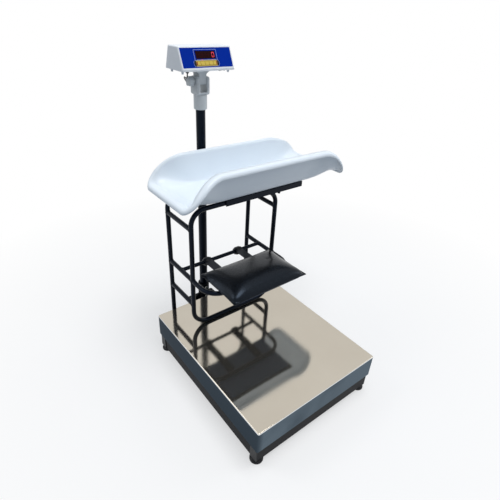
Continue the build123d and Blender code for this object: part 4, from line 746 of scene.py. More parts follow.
def tube_along(
    line: np.ndarray, radius: np.ndarray | float, sides: int, closed: bool
) -> Shape:
    """Carries a circle along a line of points.

    At each point the circle lies square to the line. Its two axes come from the
    line's direction crossed with a fixed vector, and then with the direction again.

    Args:
        line: Points in metres, one row each.
        radius: The circle's radius, one value or one for each point.
        sides: How many points the circle has.
        closed: Whether the line joins its end to its start.

    Returns:
        The tube's points and faces.
    """
    if closed:
        ahead = np.roll(line, -1, axis=0) - np.roll(line, 1, axis=0)
    else:
        ahead = np.gradient(line, axis=0)
    ahead /= np.linalg.norm(ahead, axis=1, keepdims=True)
    # No line of this object runs along the fixed vector
    guide = np.array([0.31, 0.17, 0.94])
    side = np.cross(ahead, guide)
    side /= np.linalg.norm(side, axis=1, keepdims=True)
    up = np.cross(side, ahead)
    turn = circle(sides)
    reach = np.broadcast_to(np.asarray(radius, float), (len(line),))[:, None, None]
    ring = (
        np.cos(turn)[None, :, None] * side[:, None, :]
        + np.sin(turn)[None, :, None] * up[:, None, :]
    )
    points = line[:, None, :] + reach * ring
    return points.reshape(-1, 3), grid_faces(len(line), sides, (closed, True))


def weld(piece: bpy.types.Object, reach: float = 0.02 * MM) -> None:
    """Joins corners that lie on each other and turns all faces outwards.

    Args:
        piece: The object whose mesh is joined.
        reach: How far apart two corners may lie and still be joined.
    """
    work = bmesh.new()
    work.from_mesh(piece.data)
    bmesh.ops.remove_doubles(work, verts=work.verts, dist=reach)
    bmesh.ops.dissolve_degenerate(work, edges=work.edges, dist=reach / 4)
    bmesh.ops.recalc_face_normals(work, faces=work.faces)
    work.to_mesh(piece.data)
    work.free()


@dataclass(frozen=True)
class Panel:
    """A square soft lamp: its name, its place, its side in metres and its power in watts."""

    name: str
    place: tuple[float, float, float]
    side: float
    power: float


@dataclass
class Studio:
    """The plain floor, the soft lights and the camera.

    Lengths are in metres, angles in radians and the lens in millimetres. The
    floor turns from lit paint to plain white over the fade, and its near share
    is how far it has turned beside the object.
    """

    camera_from_pan: tuple[float, float, float] = (-0.713168, -0.791, 0.995581)
    yaw: float = 0.681829
    pitch: float = -0.545566
    roll: float = 0.052841
    lens: float = 28.91
    floor_radius: float = 6.0
    floor_drop: float = 0.5 * MM
    floor_sides: int = 96
    floor_colour: str = "#b4b9c0"
    seen_floor_colour: str = "#fdfdfe"
    fade_start: float = 0.5
    fade_end: float = 1.6
    near_share: float = 0.55
    air_colour: str = "#dae3ec"
    air_strength: float = 0.46
    aim_height: float = 0.5
    panels: tuple[Panel, ...] = (
        Panel("key_panel", (0.2, -0.5, 3.3), 1.5, 52.0),
        Panel("fill_panel", (2.5, -1.3, 1.9), 1.2, 10.0),
        Panel("back_panel", (-1.9, 1.5, 2.6), 1.2, 14.0),
    )

    def build(self) -> None:
        """Makes the camera, the floor, the world and the lamps."""
        self.add_camera()
        self.add_floor()
        self.add_world()
        for panel in self.panels:
            self.add_lamp(panel)
        bpy.context.scene.view_settings.view_transform = "Standard"

    def add_camera(self) -> None:
        """Puts the camera where the photograph was taken from.

        The camera looks along a level direction turned by yaw from +Y, dipped by
        pitch, and is then rolled about that direction.
        """
        low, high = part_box("pan")
        pan_top = Vector(((low.x + high.x) / 2, (low.y + high.y) / 2, high.z))
        ahead = Vector((
            math.sin(self.yaw) * math.cos(self.pitch),
            math.cos(self.yaw) * math.cos(self.pitch),
            math.sin(self.pitch),
        ))
        level = Vector((math.cos(self.yaw), -math.sin(self.yaw), 0.0))
        upright = level.cross(ahead)
        right = math.cos(self.roll) * level + math.sin(self.roll) * upright
        up = -math.sin(self.roll) * level + math.cos(self.roll) * upright
        camera = bpy.data.objects.new("camera", bpy.data.cameras.new("camera"))
        bpy.context.scene.collection.objects.link(camera)
        camera.data.lens = self.lens
        camera.matrix_world = Matrix.Translation(
            pan_top + Vector(self.camera_from_pan)
        ) @ Matrix((right, up, -ahead)).transposed().to_4x4()
        bpy.context.scene.camera = camera

    def seen_rays(self, tree: Tree) -> tuple[Socket, Socket]:
        """Adds a switch for the rays that show the studio to the camera or in gloss.

        Args:
            tree: The tree that gets the nodes.

        Returns:
            The switch, 1 for such a ray, and the same for a ray through glass.
        """
        rays = add_node(tree, "ShaderNodeLightPath")
        seen = add_node(
            tree,
            "ShaderNodeMath",
            {"operation": "MAXIMUM"},
            {0: rays.outputs["Is Camera Ray"], 1: rays.outputs["Is Glossy Ray"]},
        )
        return seen.outputs["Value"], rays.outputs["Is Transmission Ray"]

    def floor_paint(self) -> bpy.types.Material:
        """Mixes matt paint with plain white, which only the camera and gloss see.

        Returns:
            The floor's material.
        """
        made = bpy.data.materials.new("pale_floor")
        made.use_nodes = True
        tree = made.node_tree
        tree.nodes.clear()
        place = add_node(tree, "ShaderNodeTexCoord").outputs["Object"]
        far = add_node(
            tree, "ShaderNodeVectorMath", {"operation": "LENGTH"}, {0: place}
        )
        fade = add_node(
            tree,
            "ShaderNodeMapRange",
            {
                "From Min": self.fade_start,
                "From Max": self.fade_end,
                "To Min": self.near_share,
            },
            {"Value": far.outputs["Value"]},
        )
        white = add_node(
            tree, "ShaderNodeEmission", {"Color": linear("#ffffff"), "Strength": 1.0}
        )
        seen, _ = self.seen_rays(tree)
        paint = add_node(
            tree,
            "ShaderNodeMix",
            {
                "data_type": "RGBA",
                6: linear(self.floor_colour),
                7: linear(self.seen_floor_colour),
            },
            {0: seen},
        )
        matt = add_node(tree, "ShaderNodeBsdfDiffuse", links={"Color": paint.outputs[2]})
        share = add_node(
            tree,
            "ShaderNodeMath",
            {"operation": "MULTIPLY"},
            {0: fade.outputs["Result"], 1: seen},
        )
        mixed = add_node(
            tree,
            "ShaderNodeMixShader",
            links={0: share.outputs["Value"], 1: matt.outputs["BSDF"], 2: white.outputs[0]},
        )
        add_node(
            tree, "ShaderNodeOutputMaterial", links={"Surface": mixed.outputs["Shader"]}
        )
        return made

    def add_floor(self) -> None:
        """Makes a round pale floor that keeps the shadow and fades to white far out."""
        turn = circle(self.floor_sides)
        reach = np.array([[0.0], [0.5], [1.0]]) * self.floor_radius
        drop = np.full((len(reach), self.floor_sides), -self.floor_drop)
        rings = np.stack([reach * np.cos(turn), reach * np.sin(turn), drop], axis=-1)
        faces = grid_faces(len(reach), self.floor_sides, (False, True))
        floor = add_mesh("floor", rings.reshape(-1, 3), faces, self.floor_paint(), False)

    def add_world(self) -> None:
        """White for what the camera, gloss and glass see, and a softer grey as light."""
        world = bpy.data.worlds.new("studio_air")
        bpy.context.scene.world = world
        world.use_nodes = True
        tree = world.node_tree
        tree.nodes.clear()
        seen, glass = self.seen_rays(tree)
        through = add_node(
            tree, "ShaderNodeMath", {"operation": "MAXIMUM"}, {0: seen, 1: glass}
        )
        soft = add_node(
            tree,
            "ShaderNodeBackground",
            {"Color": linear(self.air_colour), "Strength": self.air_strength},
        )
        white = add_node(
            tree, "ShaderNodeBackground", {"Color": linear("#ffffff"), "Strength": 1.0}
        )
        mixed = add_node(
            tree,
            "ShaderNodeMixShader",
            links={
                0: through.outputs["Value"],
                1: soft.outputs["Background"],
                2: white.outputs["Background"],
            },
        )
        add_node(
            tree, "ShaderNodeOutputWorld", links={"Surface": mixed.outputs["Shader"]}
        )

    def add_lamp(self, panel: Panel) -> None:
        """Adds one soft panel that faces the middle of the object.

        Args:
            panel: What the lamp is like.
        """
        data = bpy.data.lights.new(panel.name, "AREA")
        data.shape = "RECTANGLE"
        data.size = panel.side
        data.size_y = panel.side
        data.energy = panel.power
        lamp = bpy.data.objects.new(panel.name, data)
        bpy.context.scene.collection.objects.link(lamp)
        middle = Vector((0.0, 0.0, self.aim_height))
        spot = Vector(panel.place)
        turn = (middle - spot).to_track_quat("-Z", "Y").to_matrix().to_4x4()
        lamp.matrix_world = Matrix.Translation(spot) @ turn


@dataclass
class SeatPad:
    """The stuffed leatherette cushion with its welt and the dimple of one tuft.

    A place on it is given by its shares of the half width and half depth, u and
    v, each from -1 at the left or front to 1 at the right or rear.
    """

    low: Vector = field(default_factory=lambda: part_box("seat_cushion")[0])
    high: Vector = field(default_factory=lambda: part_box("seat_cushion")[1])
    grid: tuple[int, int] = (49, 33)
    # The cut: sides drawn in, height of the seam over the board, and the crown
    draw_in: float = 3.5 * MM
    seam_rise: float = 4.8 * MM
    squareness: float = 8.0
    shoulder: float = 3.0
    puff: float = 0.55
    slack_rise: float = 0.9
    sink_start: float = -0.5
    rear_share: float = 0.55
    under_steepness: float = 3.0
    # The filling: cloth settings, how far a corner may move and how often it is evened out
    quality: int = 6
    pressure: float = 12.0
    stiffness: float = 12.0
    steps: int = 16
    furthest: float = 7 * MM
    evenings: int = 14
    evening_share: float = 0.5
    board_share: float = 0.4
    seam_reach: float = 0.05 * MM
    # Gathers along the seam, with their runs as shares like u and v
    puckers: int = 34
    pucker_depth: float = 0.5 * MM
    pucker_wander: float = 2.1
    pucker_start: float = 0.02
    pucker_run: float = 0.09
    # Two folds that run in from each corner beside its diagonal
    fold_depth: float = 0.6 * MM
    fold_offset: float = 0.05
    fold_width: float = 0.025
    fold_start: float = 0.03
    fold_run: float = 0.22
    tuft: tuple[float, float] = (0.51, 0.16)
    tuft_depth: float = 3.0 * MM
    tuft_radius: float = 6.0 * MM
    smoothing: int = 2
    welt_radius: float = 1.5 * MM
    welt_inset: float = 0.006
    welt_points: int = 90
    welt_sides: int = 12

    def place(self, u: np.ndarray, v: np.ndarray) -> tuple[np.ndarray, np.ndarray]:
        """Maps the square from -1 to 1 onto the cushion's outline.

        Each side is drawn in by a parabola that is zero at the corners and
        deepest in its middle.

        Args:
            u: Share of the half width.
            v: Share of the half depth.

        Returns:
            The places along X and Y in metres.
        """
        half_x = (self.high.x - self.low.x) / 2
        half_y = (self.high.y - self.low.y) / 2
        x = u * (half_x - self.draw_in * (1 - v**2))
        y = v * (half_y - self.draw_in * (1 - u**2))
        return x + (self.low.x + self.high.x) / 2, y + (self.low.y + self.high.y) / 2

    def tuft_place(self) -> tuple[np.ndarray, np.ndarray]:
        """Where the tuft lies along X and Y in metres."""
        return self.place(np.array(self.tuft[0]), np.array(self.tuft[1]))

    def crown(self, u: np.ndarray, v: np.ndarray) -> np.ndarray:
        """Height over the seam, from 0 at the outline to 1 at the crest near the front.

        The reach is the eighth root of the summed eighth powers of both shares,
        which is nearly square but leaves the corners outside it flat and
        pinched. The height falls off as one minus its third power, to a power
        that makes the sides steep and the middle nearly level. Towards the rear
        it sinks evenly to the share that is left there.

        Args:
            u: Share of the half width.
            v: Share of the half depth.

        Returns:
            The height at each place.
        """
        reach = (np.abs(u) ** self.squareness + np.abs(v) ** self.squareness) ** (
            1 / self.squareness
        )
        behind = np.clip((v - self.sink_start) / (1 - self.sink_start), 0, 1)
        sunk = 1 - (1 - self.rear_share) * behind**2 * (3 - 2 * behind)
        return np.clip(1 - reach**self.shoulder, 0, 1) ** self.puff * sunk

    def build(self) -> None:
        """Makes the cover and the welt and lets them ride on the seat."""
        rows, columns = self.grid
        u, v = np.meshgrid(
            np.sin(np.linspace(-math.pi / 2, math.pi / 2, rows)),
            np.sin(np.linspace(-math.pi / 2, math.pi / 2, columns)),
            indexing="ij",
        )
        x, y = self.place(u, v)
        rise = self.crown(u, v)
        seam = self.low.z + self.seam_rise
        top = seam + rise * (self.high.z - seam) * self.slack_rise
        top -= self.pucker_field(u, v)
        tuft_x, tuft_y = self.tuft_place()
        spread = ((x - tuft_x) ** 2 + (y - tuft_y) ** 2) / self.tuft_radius**2
        top -= self.tuft_depth * np.exp(-spread)
        sag = np.minimum(rise * self.under_steepness, 1) ** 0.5 * self.seam_rise
        faces = grid_faces(rows, columns, (False, False))
        cut = join([
            (np.stack([x, y, top], axis=-1).reshape(-1, 3), faces),
            (np.stack([x, y, seam - sag], axis=-1).reshape(-1, 3), faces[:, ::-1]),
        ])
        cover = mesh_piece("seat_cover", cut, Palette.leatherette, Body.SEAT)
        weld(cover)
        self.inflate(cover)
        smoother = cover.modifiers.new("smoother", "SUBSURF")
        smoother.levels = self.smoothing
        smoother.render_levels = self.smoothing
        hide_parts("seat_cushion")
        self.add_welt()

    def inflate(self, cover: bpy.types.Object) -> None:
        """Blows the cover up as stiff cloth that lies on its board, and keeps the result.

        The underside and the tuft are held. No corner moves further than a set
        reach from where it was cut. The movement is then evened out, with the
        seam left where it was cut too. Last, the height over the seam is scaled
        into the CAD pad's box.

        Args:
            cover: The sewn cover.
        """
        before = self.corners(cover)
        on_board = before[:, 2] < self.low.z + self.board_share * self.seam_rise
        tuft_x, tuft_y = self.tuft_place()
        from_tuft = np.hypot(before[:, 0] - tuft_x, before[:, 1] - tuft_y)
        held = on_board | (from_tuft < self.tuft_radius / 2)
        group = cover.vertex_groups.new(name="held")
        group.add(np.flatnonzero(held).tolist(), 1.0, "REPLACE")
        cloth = cover.modifiers.new("cloth", "CLOTH")
        cloth.settings.quality = self.quality
        cloth.settings.use_pressure = True
        cloth.settings.uniform_pressure_force = self.pressure
        cloth.settings.effector_weights.gravity = 0.0
        cloth.settings.bending_stiffness = self.stiffness
        cloth.settings.vertex_group_mass = group.name
        for step in range(1, self.steps + 1):
            bpy.context.scene.frame_set(step)
        solved = cover.evaluated_get(bpy.context.evaluated_depsgraph_get())
        move = self.corners(solved) - before
        far = np.linalg.norm(move, axis=1, keepdims=True)
        move *= np.minimum(1.0, self.furthest / np.maximum(far, TINY))
        seam = self.low.z + self.seam_rise
        on_seam = np.abs(before[:, 2] - seam) < self.seam_reach
        after = before + self.evened(cover, move, held | on_seam)
        tallest = max(float(after[:, 2].max()) - seam, TINY)
        shrink = min(1.0, (self.high.z - seam) / tallest)
        above = after[:, 2] > seam
        after[above, 2] = seam + (after[above, 2] - seam) * shrink
        after[:, 2] = np.maximum(after[:, 2], self.low.z)
        cover.modifiers.remove(cloth)
        bpy.context.scene.frame_set(1)
        cover.data.vertices.foreach_set("co", after.ravel())
        cover.data.update()
        LOG.info("cushion moved %.1f mm at most", float(far.max()) / MM)

    def corners(self, cover: bpy.types.Object) -> np.ndarray:
        """Reads the places of the mesh's corners.

        Args:
            cover: The cover, as it was cut or as it is solved.

        Returns:
            The places in metres, one row each.
        """
        flat = np.zeros(len(cover.data.vertices) * 3)
        cover.data.vertices.foreach_get("co", flat)
        return flat.reshape(-1, 3)

    def evened(
        self, cover: bpy.types.Object, move: np.ndarray, still: np.ndarray
    ) -> np.ndarray:
        """Evens a movement out along the cloth's threads.

        Each corner's movement is mixed with the mean of its neighbours', some
        times over.

        Args:
            cover: The cover, whose edges are the threads.
            move: How far each corner moved.
            still: Which corners stay where they were.

        Returns:
            The evened movement.
        """
        threads = np.zeros(len(cover.data.edges) * 2, dtype=np.int32)
        cover.data.edges.foreach_get("vertices", threads)
        ends = threads.reshape(-1, 2)
        for _ in range(self.evenings):
            total = np.zeros_like(move)
            shared = np.zeros((len(move), 1))
            for near, other in ((0, 1), (1, 0)):
                np.add.at(total, ends[:, near], move[ends[:, other]])
                np.add.at(shared, ends[:, near], 1.0)
            own = (1 - self.evening_share) * move
            move = own + self.evening_share * total / np.maximum(shared, 1)
            move[still] = 0
        return move

    def pucker_field(self, u: np.ndarray, v: np.ndarray) -> np.ndarray:
        """Depth of the small gathers that run inwards from the seam.

        A sine along the seam is faded by the distance from the outline. A bell
        curve across each diagonal's two sides makes the folds from the corners.

        Args:
            u: Share of the half width.
            v: Share of the half depth.

        Returns:
            The depth at each place in metres.
        """
        edge = np.minimum(1 - np.abs(u), 1 - np.abs(v))
        angle = np.arctan2(v, u)
        wander = self.pucker_wander * np.sin(3 * angle)
        wave = 0.5 + 0.5 * np.sin(self.puckers * angle + wander)
        gathers = self.pucker_depth * wave * np.exp(-edge / self.pucker_run)
        gathers *= 1 - np.exp(-edge / self.pucker_start)
        off = np.abs(np.abs(u) - np.abs(v))
        bell = np.exp(-(((off - self.fold_offset) / self.fold_width) ** 2))
        reach = np.exp(-np.maximum(0.0, 1 - np.abs(u)) / self.fold_run)
        folds = self.fold_depth * bell * reach
        return gathers + folds * (1 - np.exp(-edge / self.fold_start))

    def add_welt(self) -> None:
        """Makes the piped welt that covers the seam."""
        quarter = np.linspace(-math.pi / 2, math.pi / 2, self.welt_points, endpoint=False)
        ramp = np.sin(quarter)
        ones = np.ones(self.welt_points)
        u = np.concatenate([ramp, ones, -ramp, -ones])
        v = np.concatenate([-ones, ramp, ones, -ramp])
        inset = 1 - self.welt_inset
        x, y = self.place(u * inset, v * inset)
        z = np.full_like(x, self.low.z + self.seam_rise)
        line = np.stack([x, y, z], axis=-1)
        tube = tube_along(line, self.welt_radius, self.welt_sides, True)
        welt = mesh_piece("seat_welt", tube, Palette.leatherette, Body.SEAT)


@dataclass
class InfantTray:
    """The moulded tray: a flat floor, full sides, low ends and a rolled lip all round.

    The rim sinks to both ends over runs of different length: one on the left, and
    one each on the near and the far side of the right end.
    """

    half_length: float = 338 * MM
    half_width: float = 128 * MM
    flare: float = 16 * MM
    corner: float = 42 * MM
    drop_run: float = 140 * MM
    near_right_run: float = 105 * MM
    far_right_run: float = 180 * MM
    rim: float = 728 * MM
    end_rim: float = 643 * MM
    floor_half_length: float = 282 * MM
    floor_half_width: float = 82 * MM
    floor_corner: float = 74 * MM
    floor_top: float = 629.6 * MM
    floor_bottom: float = 622.8 * MM
    end_floor_rise: float = 4 * MM
    sheet: float = 3 * MM
    lip: float = 24 * MM
    lip_drop: float = 16 * MM
    lip_radius: float = 12 * MM
    edge_radius: float = 0.8 * MM
    inner_chamfer: float = 2 * MM
    lean_share: float = 0.42
    end_lean_share: float = 0.45
    side_points: int = 44
    corner_points: int = 16
    end_points: int = 10
    floor_rings: int = 7
    wall_rings: int = 20
    lip_rings: int = 8

    def build(self) -> None:
        """Makes the shell, which stands for the CAD tray, and lets it ride on its body."""
        centre = middle_of("tray") * np.array([1, 1, 0])
        rings = np.stack(self.rings())
        faces = grid_faces(*rings.shape[:2], (False, True))
        shell = mesh_piece(
            "infant_tray_shell", (rings.reshape(-1, 3) + centre, faces),
            Palette.gel_coat, Body.TRAY,
        )
        weld(shell)
        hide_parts("tray")

    def side_half(self, x: np.ndarray) -> np.ndarray:
        """Half the width over the lip, which flares by half a sine towards each end."""
        return self.half_width + self.flare * np.sin(math.pi * self.share(x, self.drop_run))

    def share(self, x: np.ndarray, run: np.ndarray | float) -> np.ndarray:
        """How far the side has risen to its full height: a quarter sine from the end."""
        from_end = np.clip((self.half_length - np.abs(x)) / run, 0, 1)
        return np.sin(math.pi / 2 * from_end)

    def quarter(self, length: float, corner: float, top: np.ndarray | float) -> np.ndarray:
        """One quarter of a loop: along the side, round the corner and to the middle of the end.

        Args:
            length: Half the loop's length.
            corner: The radius of its corner.
            top: Half the width along the side, one value or one for each side point.

        Returns:
            Places along X and Y.
        """
        side_x = np.linspace(0, length - corner, self.side_points, endpoint=False)
        side_y = np.broadcast_to(np.asarray(top, float), side_x.shape)
        end_top = float(side_y[-1])
        turn = np.linspace(0, math.pi / 2, self.corner_points, endpoint=False)
        corner_x = length - corner + corner * np.sin(turn)
        corner_y = end_top - corner + corner * np.cos(turn)
        end_y = np.linspace(end_top - corner, 0, self.end_points, endpoint=False)
        end_x = np.full(self.end_points, length)
        return np.stack([
            np.concatenate([side_x, corner_x, end_x]),
            np.concatenate([side_y, corner_y, end_y]),
        ], axis=-1)

    def loop(self, quarter: np.ndarray) -> np.ndarray:
        """Mirrors a quarter to a closed loop, clockwise from the middle of the rear side.

        Args:
            quarter: Places along X and Y, from the rear side's middle to the right end's.

        Returns:
            Places along X and Y, once round.
        """
        last = np.array([[quarter[-1, 0], 0.0]])
        first = quarter[0]
        right = np.concatenate([quarter, last, quarter[:0:-1] * np.array([1, -1])])
        left = np.concatenate([
            np.array([[first[0], -first[1]]]),
            quarter[1:] * np.array([-1, -1]),
            last * np.array([-1, 1]),
            quarter[:0:-1] * np.array([-1, 1]),
        ])
        return np.concatenate([right, left])

    def rings(self) -> list[np.ndarray]:
        """All rings of the shell, from the middle of the floor's top to that of its underside.

        The rings run out over the floor, up the inner wall, over the lip, round its
        lower edge, up behind it, and down the outer wall to the floor's underside.

        Returns:
            The points of each ring, all rings with as many.
        """
        side_x = np.linspace(
            0, self.half_length - self.corner, self.side_points, endpoint=False
        )
        edge = self.loop(
            self.quarter(self.half_length, self.corner, self.side_half(side_x))
        )
        foot = self.loop(
            self.quarter(self.floor_half_length, self.floor_corner, self.floor_half_width)
        )
        spine = foot.copy()
        reach = self.floor_half_length - self.floor_corner
        spine[:, 0] = np.clip(foot[:, 0], -reach, reach)
        spine[:, 1] = 0
        ahead = np.roll(edge, -1, axis=0) - np.roll(edge, 1, axis=0)
        out = np.stack([-ahead[:, 1], ahead[:, 0]], axis=-1)
        out /= np.linalg.norm(out, axis=1, keepdims=True)
        out *= np.sign((out * edge).sum(axis=1, keepdims=True))
        right_run = np.where(edge[:, 1] < 0, self.near_right_run, self.far_right_run)
        run = np.where(edge[:, 0] > 0, right_run, self.drop_run)
        share = self.share(edge[:, 0], run)
        rim = self.end_rim + (self.rim - self.end_rim) * share
        rise = self.end_floor_rise * (1 - share)
        lean = self.lean_share + self.end_lean_share * (1 - share)
        inner = edge - out * self.lip
        over = [
            self.ring(spine + (foot - spine) * part, self.floor_top + rise * part**2)
            for part in np.linspace(0, 1, self.floor_rings)[:-1]
        ]
        over += [
            self.wall(foot, inner, self.floor_top + rise, rim, lean, part)
            for part in np.linspace(0, 1, self.wall_rings)
        ]
        under = [
            self.wall(
                foot, inner + out * self.sheet, self.floor_bottom + rise,
                rim - self.sheet, lean, part,
            )
            for part in np.linspace(1, 0, self.wall_rings)
        ]
        under += [
            self.ring(spine + (foot - spine) * part, self.floor_bottom + rise * part**2)
            for part in np.linspace(1, 0, self.floor_rings)[1:]
        ]
        return over + self.lip_section(edge, inner, out, rim) + under

    def lip_section(
        self, edge: np.ndarray, inner: np.ndarray, out: np.ndarray, rim: np.ndarray
    ) -> list[np.ndarray]:
        """The rings of the lip: a quarter circle, then round the lower edge and up behind.

        Args:
            edge: The loop of the lip's outer face.
            inner: The loop where the lip starts.
            out: The direction outwards at each point.
            rim: Height of the rim at each point.

        Returns:
            The points of each ring.
        """
        made = []
        for turn in np.linspace(0, math.pi / 2, self.lip_rings):
            side = self.lip - self.lip_radius + self.lip_radius * math.sin(turn)
            drop = self.lip_radius * (1 - math.cos(turn))
            made.append(self.ring(inner + out * side, rim - drop))
        bottom = rim - self.lip_drop
        behind = rim - self.sheet
        for inset, height in (
            (0.0, bottom + self.edge_radius),
            (self.edge_radius, bottom),
            (self.sheet - self.edge_radius, bottom),
            (self.sheet, bottom + self.edge_radius),
            (self.sheet, behind - self.inner_chamfer),
            (self.sheet + self.inner_chamfer, behind),
        ):
            made.append(self.ring(edge - out * inset, height))
        return made

    def ring(self, places: np.ndarray, height: np.ndarray | float) -> np.ndarray:
        """Puts a loop at its height, which is one value or one for each point."""
        heights = np.broadcast_to(np.asarray(height, float), (len(places),))
        return np.concatenate([places, heights[:, None]], axis=1)

    def wall(
        self,
        foot: np.ndarray,
        head: np.ndarray,
        low: np.ndarray,
        high: np.ndarray,
        lean: np.ndarray,
        part: float,
    ) -> np.ndarray:
        """One ring of the wall between the floor's edge and the rim.

        The wall is a quarter ellipse, level at the foot and upright at the top,
        mixed with a straight line from foot to top by the share of lean.

        Args:
            foot: The loop at the wall's foot.
            head: The loop at its top.
            low: Height of the foot at each point.
            high: Height of the top at each point.
            lean: The straight line's share at each point.
            part: Where the ring lies, from 0 at the foot to 1 at the top.

        Returns:
            The ring's points.
        """
        turn = part * math.pi / 2
        climb = 1 - math.cos(turn)
        away = math.sin(turn) * (1 - lean) + climb * lean
        places = foot + (head - foot) * away[:, None]
        return self.ring(places, low + (high - low) * climb)


@dataclass
class HeadLead:
    """The thin lead from the head's gland into the side of the clevis."""

    radius: float = 2 * MM
    gland: tuple[float, float] = (-64 * MM, -33 * MM)
    entry: tuple[float, float, float] = (-23.5 * MM, 15 * MM, -14 * MM)
    head_over_pivot: float = 36 * MM
    gland_length: float = 7 * MM
    sides: int = 14
    steps: int = 24
    order: int = 3

    def route(self) -> np.ndarray:
        """Control points of the lead, as they are in the part's source.

        Returns:
            Places in metres, one row each, from the gland to the clevis.
        """
        column_x, column_y, _ = middle_of("column_tube")
        pivot = np.array([column_x, column_y, middle_of("tilt_bolt")[2]])
        gland_x, gland_y = self.gland
        entry_x, entry_y, entry_z = self.entry
        top = self.head_over_pivot
        return pivot + np.array([
            (gland_x, gland_y, top - 1 * MM),
            (gland_x, gland_y, top - self.gland_length - 9 * MM),
            (gland_x + 6 * MM, gland_y + 16 * MM, top - 24 * MM),
            (entry_x - 30 * MM, entry_y - 8 * MM, top - 22 * MM),
            (entry_x - 19 * MM, entry_y + 8 * MM, entry_z + 18 * MM),
            (entry_x - 9 * MM, entry_y, entry_z),
            (entry_x + 2 * MM, entry_y, entry_z),
        ])

    def curve(self) -> np.ndarray:
        """Draws a smooth spline on the control points.

        Returns:
            Points of the line in metres, one row each.
        """
        points = self.route()
        data = bpy.data.curves.new("lead_line", "CURVE")
        data.dimensions = "3D"
        data.resolution_u = self.steps
        spline = data.splines.new("NURBS")
        spline.points.add(len(points) - 1)
        homogeneous = np.concatenate([points, np.ones((len(points), 1))], axis=1)
        spline.points.foreach_set("co", homogeneous.astype(np.float32).ravel())
        spline.order_u = self.order
        spline.use_endpoint_u = True
        guide = bpy.data.objects.new("lead_line", data)
        bpy.context.scene.collection.objects.link(guide)
        drawn = bpy.data.meshes.new_from_object(guide)
        line = np.zeros(len(drawn.vertices) * 3, np.float32)
        drawn.vertices.foreach_get("co", line)
        bpy.data.objects.remove(guide)
        return line.reshape(-1, 3).astype(float)

    def build(self) -> None:
        """Makes the lead as a smooth tube."""
        line = self.curve()
        tube = tube_along(line, self.radius, self.sides, False)
        lead = add_mesh("head_lead", *tube, Palette.sheath.material())
        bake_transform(lead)
        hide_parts("head_cable")


@dataclass
class Welds:
    """The small beads where the stand's tubes are welded to each other."""

    tube_radius: float = 8 * MM
    bead: float = 1.6 * MM
    bead_sides: int = 8
    points: int = 48
    ripples: int = 22
    ripple_share: float = 0.16
    bar_rises: tuple[float, ...] = (100 * MM, 202 * MM, 394 * MM)

    def saddle(
        self, centre: Sequence[float], along: int, sign: int, bar: float, upright: bool = True
    ) -> np.ndarray:
        """The closed line where a bar meets a stand tube.

        It is a circle of the bar's radius, pushed back along the bar by how far
        the tube's round side falls away.

        Args:
            centre: Where the two axes cross.
            along: The bar's axis, 0 for X and 1 for Y.
            sign: Which way the bar leaves the tube.
            bar: The bar's radius.
            upright: Whether the tube stands, or else lies level.

        Returns:
            Points of the line in metres.
        """
        turn = circle(self.points)
        side = bar * np.cos(turn)
        height = bar * np.sin(turn)
        off = side if upright else height
        line = np.zeros((self.points, 3))
        line[:, along] = sign * np.sqrt(np.clip(self.tube_radius**2 - off**2, 0, None))
        line[:, 1 - along] = side
        line[:, 2] = height
        return np.array(centre) + line

    def build(self) -> None:
        """Makes one piece of all the beads of the stand."""
        front_low, front_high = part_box("stand_front_loop")
        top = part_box("pan")[1].z
        front_y = middle_of("stand_front_loop")[1]
        rear_y = middle_of("stand_rear_arch")[1]
        sides = (front_low.x + self.tube_radius, front_high.x - self.tube_radius)
        lines = []
        for x in sides:
            for rise in self.bar_rises:
                for y, sign in ((front_y, 1), (rear_y, -1)):
                    lines.append(self.saddle((x, y, top + rise), 1, sign, self.tube_radius))
            # The level loop under the seat is as high as the second bar
            seat = (x, front_y, top + self.bar_rises[1])
            lines.append(self.saddle(seat, 1, -1, self.tube_radius))
        hinge_low, hinge_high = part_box("hinge_bar")
        _, hinge_y, hinge_z = middle_of("hinge_bar")
        bar = (hinge_high.z - hinge_low.z) / 2
        for x, sign in zip(sides, (1, -1)):
            lines.append(self.saddle((x, hinge_y, hinge_z), 0, sign, bar, upright=False))
        # The bead swells and thins as a sine along its line, as the welder's hand moves
        wave = np.sin(self.ripples * np.linspace(0, 2 * math.pi, self.points))
        radius = self.bead * (1 + self.ripple_share * wave)
        beads = join([tube_along(line, radius, self.bead_sides, True) for line in lines])
        piece = mesh_piece("stand_welds", beads, Palette.powder_coat, Body.STAND)


